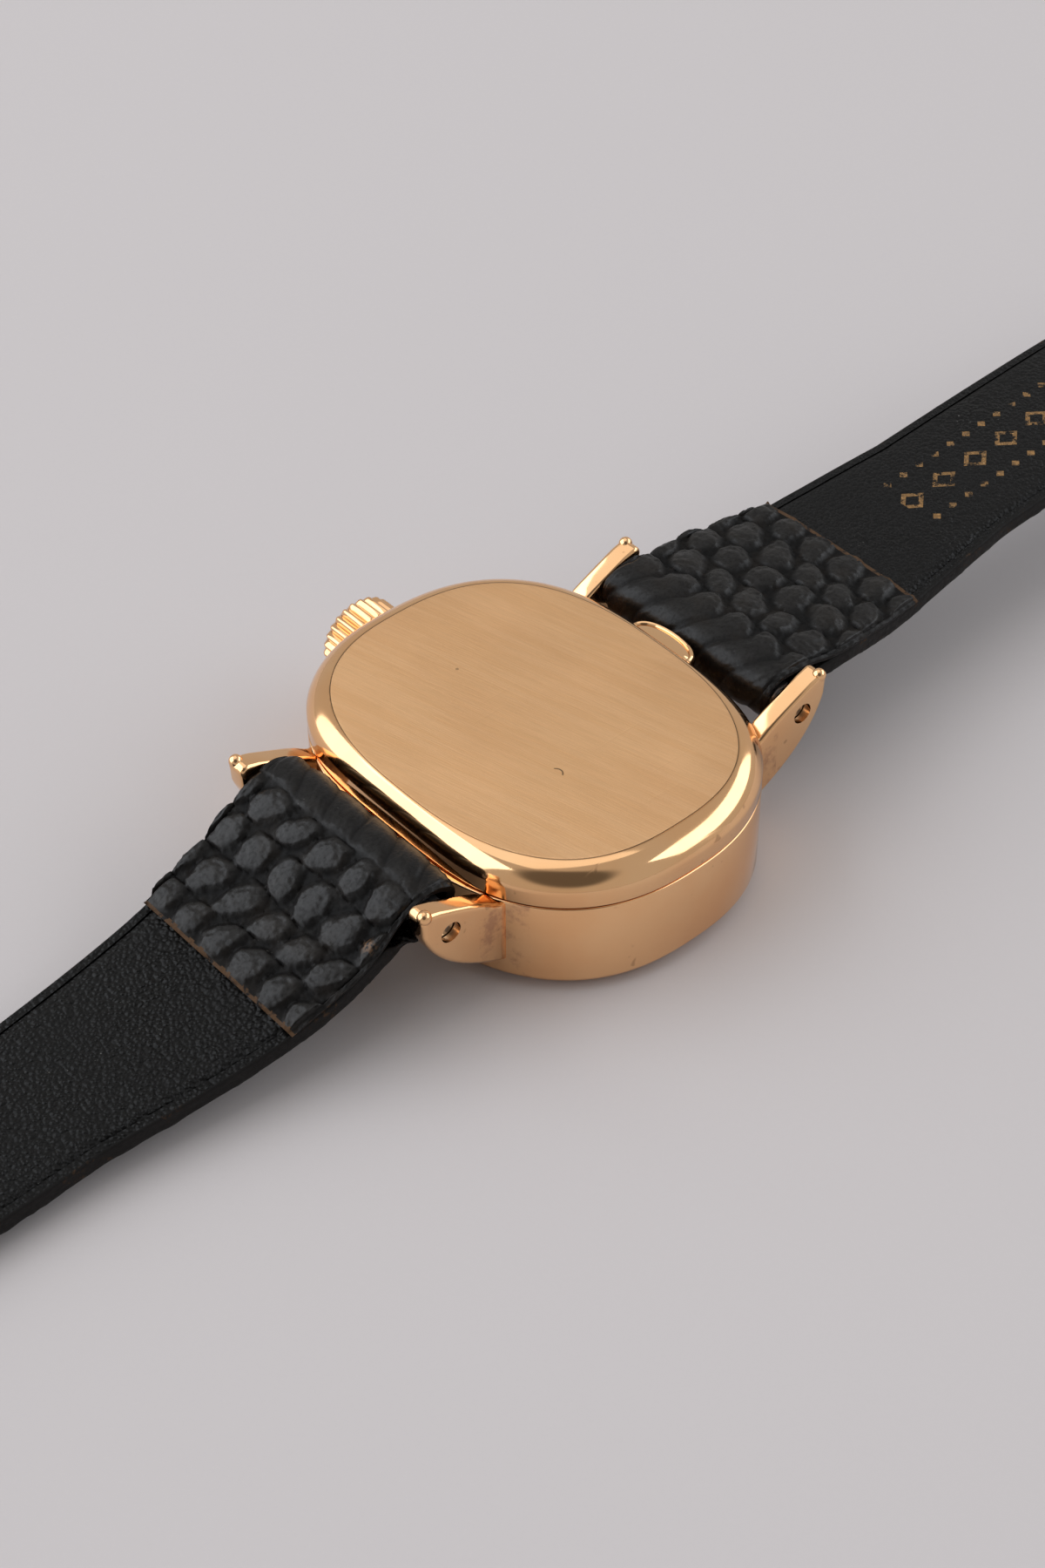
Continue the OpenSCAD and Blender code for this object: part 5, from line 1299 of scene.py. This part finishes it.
class WatchStage(bpy.types.PropertyGroup):
    floor: FloatVectorProperty(name="Floor", description="Colour of the table", subtype="COLOR",
                               default=(0.575, 0.538, 0.534), min=0, max=1)
    lamp: FloatProperty(name="Overhead lamp", description="Brightness of the overhead softbox's face",
                        subtype="FACTOR", default=0.6, min=0, max=5)
    side: FloatProperty(name="Side lamps", description="Brightness of the two side softboxes' faces",
                        subtype="FACTOR", default=1.9, min=0, max=5)
    sky: FloatProperty(name="Room", description="Brightness of the room", subtype="FACTOR", default=0.5,
                       min=0, max=2)


# Stage

def add_table():
    bm = bmesh.new()
    bmesh.ops.create_grid(bm, x_segments=8, y_segments=8, size=2.5)
    bmesh.ops.translate(bm, vec=(0, 0, -0.00002), verts=bm.verts)
    table = placed(bm, "table_top")
    table.data.materials.append(floor_paper())


def add_softbox(name, spot, size, level, tint=(1.0, 1.0, 1.0)):
    """A lamp that points at the watch. level is the light its face gives off, where 1 is white."""
    lamp = bpy.data.lights.new(name, "AREA")
    lamp.shape, (lamp.size, lamp.size_y) = "RECTANGLE", size
    lamp.energy = level * math.pi * size[0] * size[1]
    lamp.color = tint
    light = bpy.data.objects.new(name, lamp)
    light.location = spot
    light.rotation_euler = (-Vector(spot)).to_track_quat("-Z", "Y").to_euler()
    bpy.context.scene.collection.objects.link(light)


def light_room(sky):
    """An even room, darker where its viewer stands."""
    scene = bpy.context.scene
    scene.world = scene.world or bpy.data.worlds.new("room")
    scene.world.use_nodes = True
    tree = scene.world.node_tree
    backing = tree.nodes["Background"]
    backing.inputs["Color"].default_value = (1.0, 0.985, 0.97, 1)
    toward = put(tree, "ShaderNodeVectorMath", {"operation": "DOT_PRODUCT", 1: (-0.48, -0.55, 0.68)},
                 {0: put(tree, "ShaderNodeTexCoord").outputs["Generated"]}).outputs["Value"]
    tree.links.new(ramp(tree, toward, 0.84, 0.93, sky, 0.25 * sky), backing.inputs["Strength"])


def add_camera():
    """The camera of the photograph, as fitted to it."""
    a, e, roll = (math.radians(v) for v in CAMERA_ANGLES)
    right = Vector((math.cos(a), math.sin(a), 0))
    up = Vector((-math.sin(a) * math.sin(e), math.cos(a) * math.sin(e), math.cos(e)))
    back = Vector((math.sin(a) * math.cos(e), -math.cos(a) * math.cos(e), math.sin(e)))
    right, up = math.cos(roll) * right + math.sin(roll) * up, -math.sin(roll) * right + math.cos(roll) * up
    camera = bpy.data.cameras.new("photo camera")
    camera.sensor_width, camera.lens = SENSOR, FOCAL / PICTURE_HEIGHT * SENSOR
    camera.clip_start, camera.clip_end = 0.01, 20
    x, y, z = CAMERA_PLACE
    place = (right * x + up * y + back * z + Vector(CAMERA_AIM)) * MM
    eye = bpy.data.objects.new("photo camera", camera)
    eye.matrix_world = Matrix.Translation(place) @ Matrix((right, up, back)).transposed().to_4x4()
    bpy.context.scene.collection.objects.link(eye)
    bpy.context.scene.camera = eye


# Operators

class WATCH_OT_case(bpy.types.Operator):
    """Adds the case band and its four drilled lugs"""
    bl_idname = "watch.case"
    bl_label = "Case"

    def execute(self, context):
        make_band()
        make_lugs()
        dress(polished_gold(), "case_gold", "crown_tube")
        return {"FINISHED"}


class WATCH_OT_front(bpy.types.Operator):
    """Adds the bezel and the crystal"""
    bl_idname = "watch.front"
    bl_label = "Bezel and crystal"

    def execute(self, context):
        make_bezel()
        make_crystal()
        return {"FINISHED"}


class WATCH_OT_back(bpy.types.Operator):
    """Adds the brushed back with its polished shoulder and lip"""
    bl_idname = "watch.back"
    bl_label = "Back"

    def execute(self, context):
        make_back()
        return {"FINISHED"}


class WATCH_OT_crown(bpy.types.Operator):
    """Adds the ribbed crown"""
    bl_idname = "watch.crown"
    bl_label = "Crown"

    def execute(self, context):
        make_crown()
        return {"FINISHED"}


class WATCH_OT_dial(bpy.types.Operator):
    """Finishes the dial, its track, its batons and its hands"""
    bl_idname = "watch.dial"
    bl_label = "Dial and hands"

    def execute(self, context):
        dress(dial_enamel(), "dial_enamel", "dial")
        make_dial_print()
        # The hands' gold is painted 4% lighter, as painted light
        dress(polished_gold(1.04), "hand_gold", "hour_batons", "minute_hand", "hour_hand")
        return {"FINISHED"}


class WATCH_OT_movement(bpy.types.Operator):
    """Finishes every piece of the movement"""
    bl_idname = "watch.movement"
    bl_label = "Movement"

    def execute(self, context):
        look = context.scene.watch_movement
        nickel, brass, steel, blue = (tuple(c) for c in (look.nickel, look.brass, look.steel, look.blue))
        dress(metal_finish("pearled nickel", nickel, 0.26, "pearls"), "nickel", "main_plate")
        for turn, nodes in ((0.5, ("barrel_bridge", "train_bridge", "balance_cock")),
                            (1.2, ("pallet_bridge",))):
            striped = metal_finish("striped nickel %.1f" % turn, nickel, 0.24, "stripes", (0, 0, 0), turn)
            dress(striped, "nickel", *nodes)
        for node in ("mainspring_barrel", "centre_wheel", "third_wheel", "fourth_wheel", "balance_wheel",
                     "minute_wheel", "hour_wheel"):
            ringed = metal_finish("brass of " + node, brass, 0.22, "rings", centre_of(node))
            dress(ringed, "train_brass", node)
        dress(metal_finish("turned brass", brass, 0.3, "rings"), "train_brass", "casing_ring")
        for node in ("crown_wheel", "ratchet_wheel"):
            snailed = metal_finish("snailed steel of " + node, steel, 0.2, "snail", centre_of(node))
            dress(snailed, "steel", node)
        dress(metal_finish("grained steel", steel, 0.22, "lines"), "steel",
              "winding_pinion", "winding_stem", "barrel_arbor", "mainspring", "escape_wheel", "pallet_fork",
              "cannon_pinion", "click")
        dress(metal_finish("blued steel", blue, 0.16, "lines"), "blued_steel", "bridge_screws", "hairspring")
        dress(ruby(), "ruby", "jewels")
        return {"FINISHED"}


class WATCH_OT_spring_bars(bpy.types.Operator):
    """Finishes the two spring bars and their tips"""
    bl_idname = "watch.spring_bars"
    bl_label = "Spring bars"

    def execute(self, context):
        drawn = metal_finish("drawn steel", tuple(context.scene.watch_movement.steel), 0.28, "lines")
        dress(drawn, "steel",
              "upper_spring_bar_tube", "upper_bar_tip_crown_side", "upper_bar_tip_far_side",
              "lower_spring_bar_tube", "lower_bar_tip_crown_side", "lower_bar_tip_far_side")
        return {"FINISHED"}


class WATCH_OT_lower_strap(bpy.types.Operator):
    """Adds the long strap half with its buckle holes"""
    bl_idname = "watch.lower_strap"
    bl_label = "Lower strap"

    def execute(self, context):
        make_lower_strap()
        return {"FINISHED"}


class WATCH_OT_upper_strap(bpy.types.Operator):
    """Adds the buckle half of the strap"""
    bl_idname = "watch.upper_strap"
    bl_label = "Upper strap"

    def execute(self, context):
        make_upper_strap()
        return {"FINISHED"}


class WATCH_OT_keepers(bpy.types.Operator):
    """Adds the fixed and the sliding keeper"""
    bl_idname = "watch.keepers"
    bl_label = "Keepers"

    def execute(self, context):
        make_keeper("stitched_keeper", "upper_strap", 69.5, 0.02, "fixed_keeper")
        make_keeper("free_keeper", "sliding_keeper", 63.5, 0.3, "sliding_keeper")
        return {"FINISHED"}


class WATCH_OT_buckle(bpy.types.Operator):
    """Adds the buckle frame and its tongue, and finishes the bar"""
    bl_idname = "watch.buckle"
    bl_label = "Buckle"

    def execute(self, context):
        make_buckle_frame()
        make_tongue()
        drawn = metal_finish("drawn steel", tuple(context.scene.watch_movement.steel), 0.28, "lines")
        dress(drawn, "steel", "buckle_bar")
        return {"FINISHED"}


class WATCH_OT_stage(bpy.types.Operator):
    """Adds the pale table, three soft lamps, the room light and the camera"""
    bl_idname = "watch.stage"
    bl_label = "Stage"

    def execute(self, context):
        look, cool = context.scene.watch_stage, (0.95, 1.0, 1.07)
        add_table()
        add_softbox("overhead softbox", (0.0, 0.25, 0.75), (0.7, 0.7), look.lamp)
        add_softbox("left softbox", (-0.48, 0.42, 0.36), (1.0, 0.8), look.side, cool)
        add_softbox("right softbox", (0.54, -0.30, 0.40), (0.90, 0.4), look.side, cool)
        light_room(look.sky)
        add_camera()
        context.scene.view_settings.view_transform = "Standard"
        return {"FINISHED"}


OPERATORS = (WATCH_OT_case, WATCH_OT_front, WATCH_OT_back, WATCH_OT_crown, WATCH_OT_dial, WATCH_OT_movement,
             WATCH_OT_spring_bars, WATCH_OT_lower_strap, WATCH_OT_upper_strap, WATCH_OT_keepers,
             WATCH_OT_buckle, WATCH_OT_stage)
SETTINGS = {"watch_case": WatchCase, "watch_dial": WatchDial, "watch_movement": WatchMovement,
            "watch_strap": WatchStrap, "watch_stage": WatchStage}


class WATCH_PT_panel(bpy.types.Panel):
    """Lists the pieces of the watch and their settings"""
    bl_idname = "WATCH_PT_panel"
    bl_label = "Cocktail watch"
    bl_space_type = "VIEW_3D"
    bl_region_type = "UI"
    bl_category = "Watch"

    def draw(self, context):
        for operator in OPERATORS:
            self.layout.operator(operator.bl_idname)
        for label, group in SETTINGS.items():
            box = self.layout.box()
            box.label(text=label.replace("_", " ").capitalize())
            for key in group.__annotations__:
                box.prop(getattr(context.scene, label), key)


def register():
    for group in SETTINGS.values():
        bpy.utils.register_class(group)
    for label, group in SETTINGS.items():
        setattr(bpy.types.Scene, label, PointerProperty(type=group))
    for operator in OPERATORS:
        bpy.utils.register_class(operator)
    bpy.utils.register_class(WATCH_PT_panel)


def unregister():
    bpy.utils.unregister_class(WATCH_PT_panel)
    for operator in reversed(OPERATORS):
        bpy.utils.unregister_class(operator)
    for label, group in SETTINGS.items():
        delattr(bpy.types.Scene, label)
        bpy.utils.unregister_class(group)


def main():
    register()
    for operator in OPERATORS:
        group, name = operator.bl_idname.split(".")
        getattr(getattr(bpy.ops, group), name)()


if __name__ == "__main__":
    main()
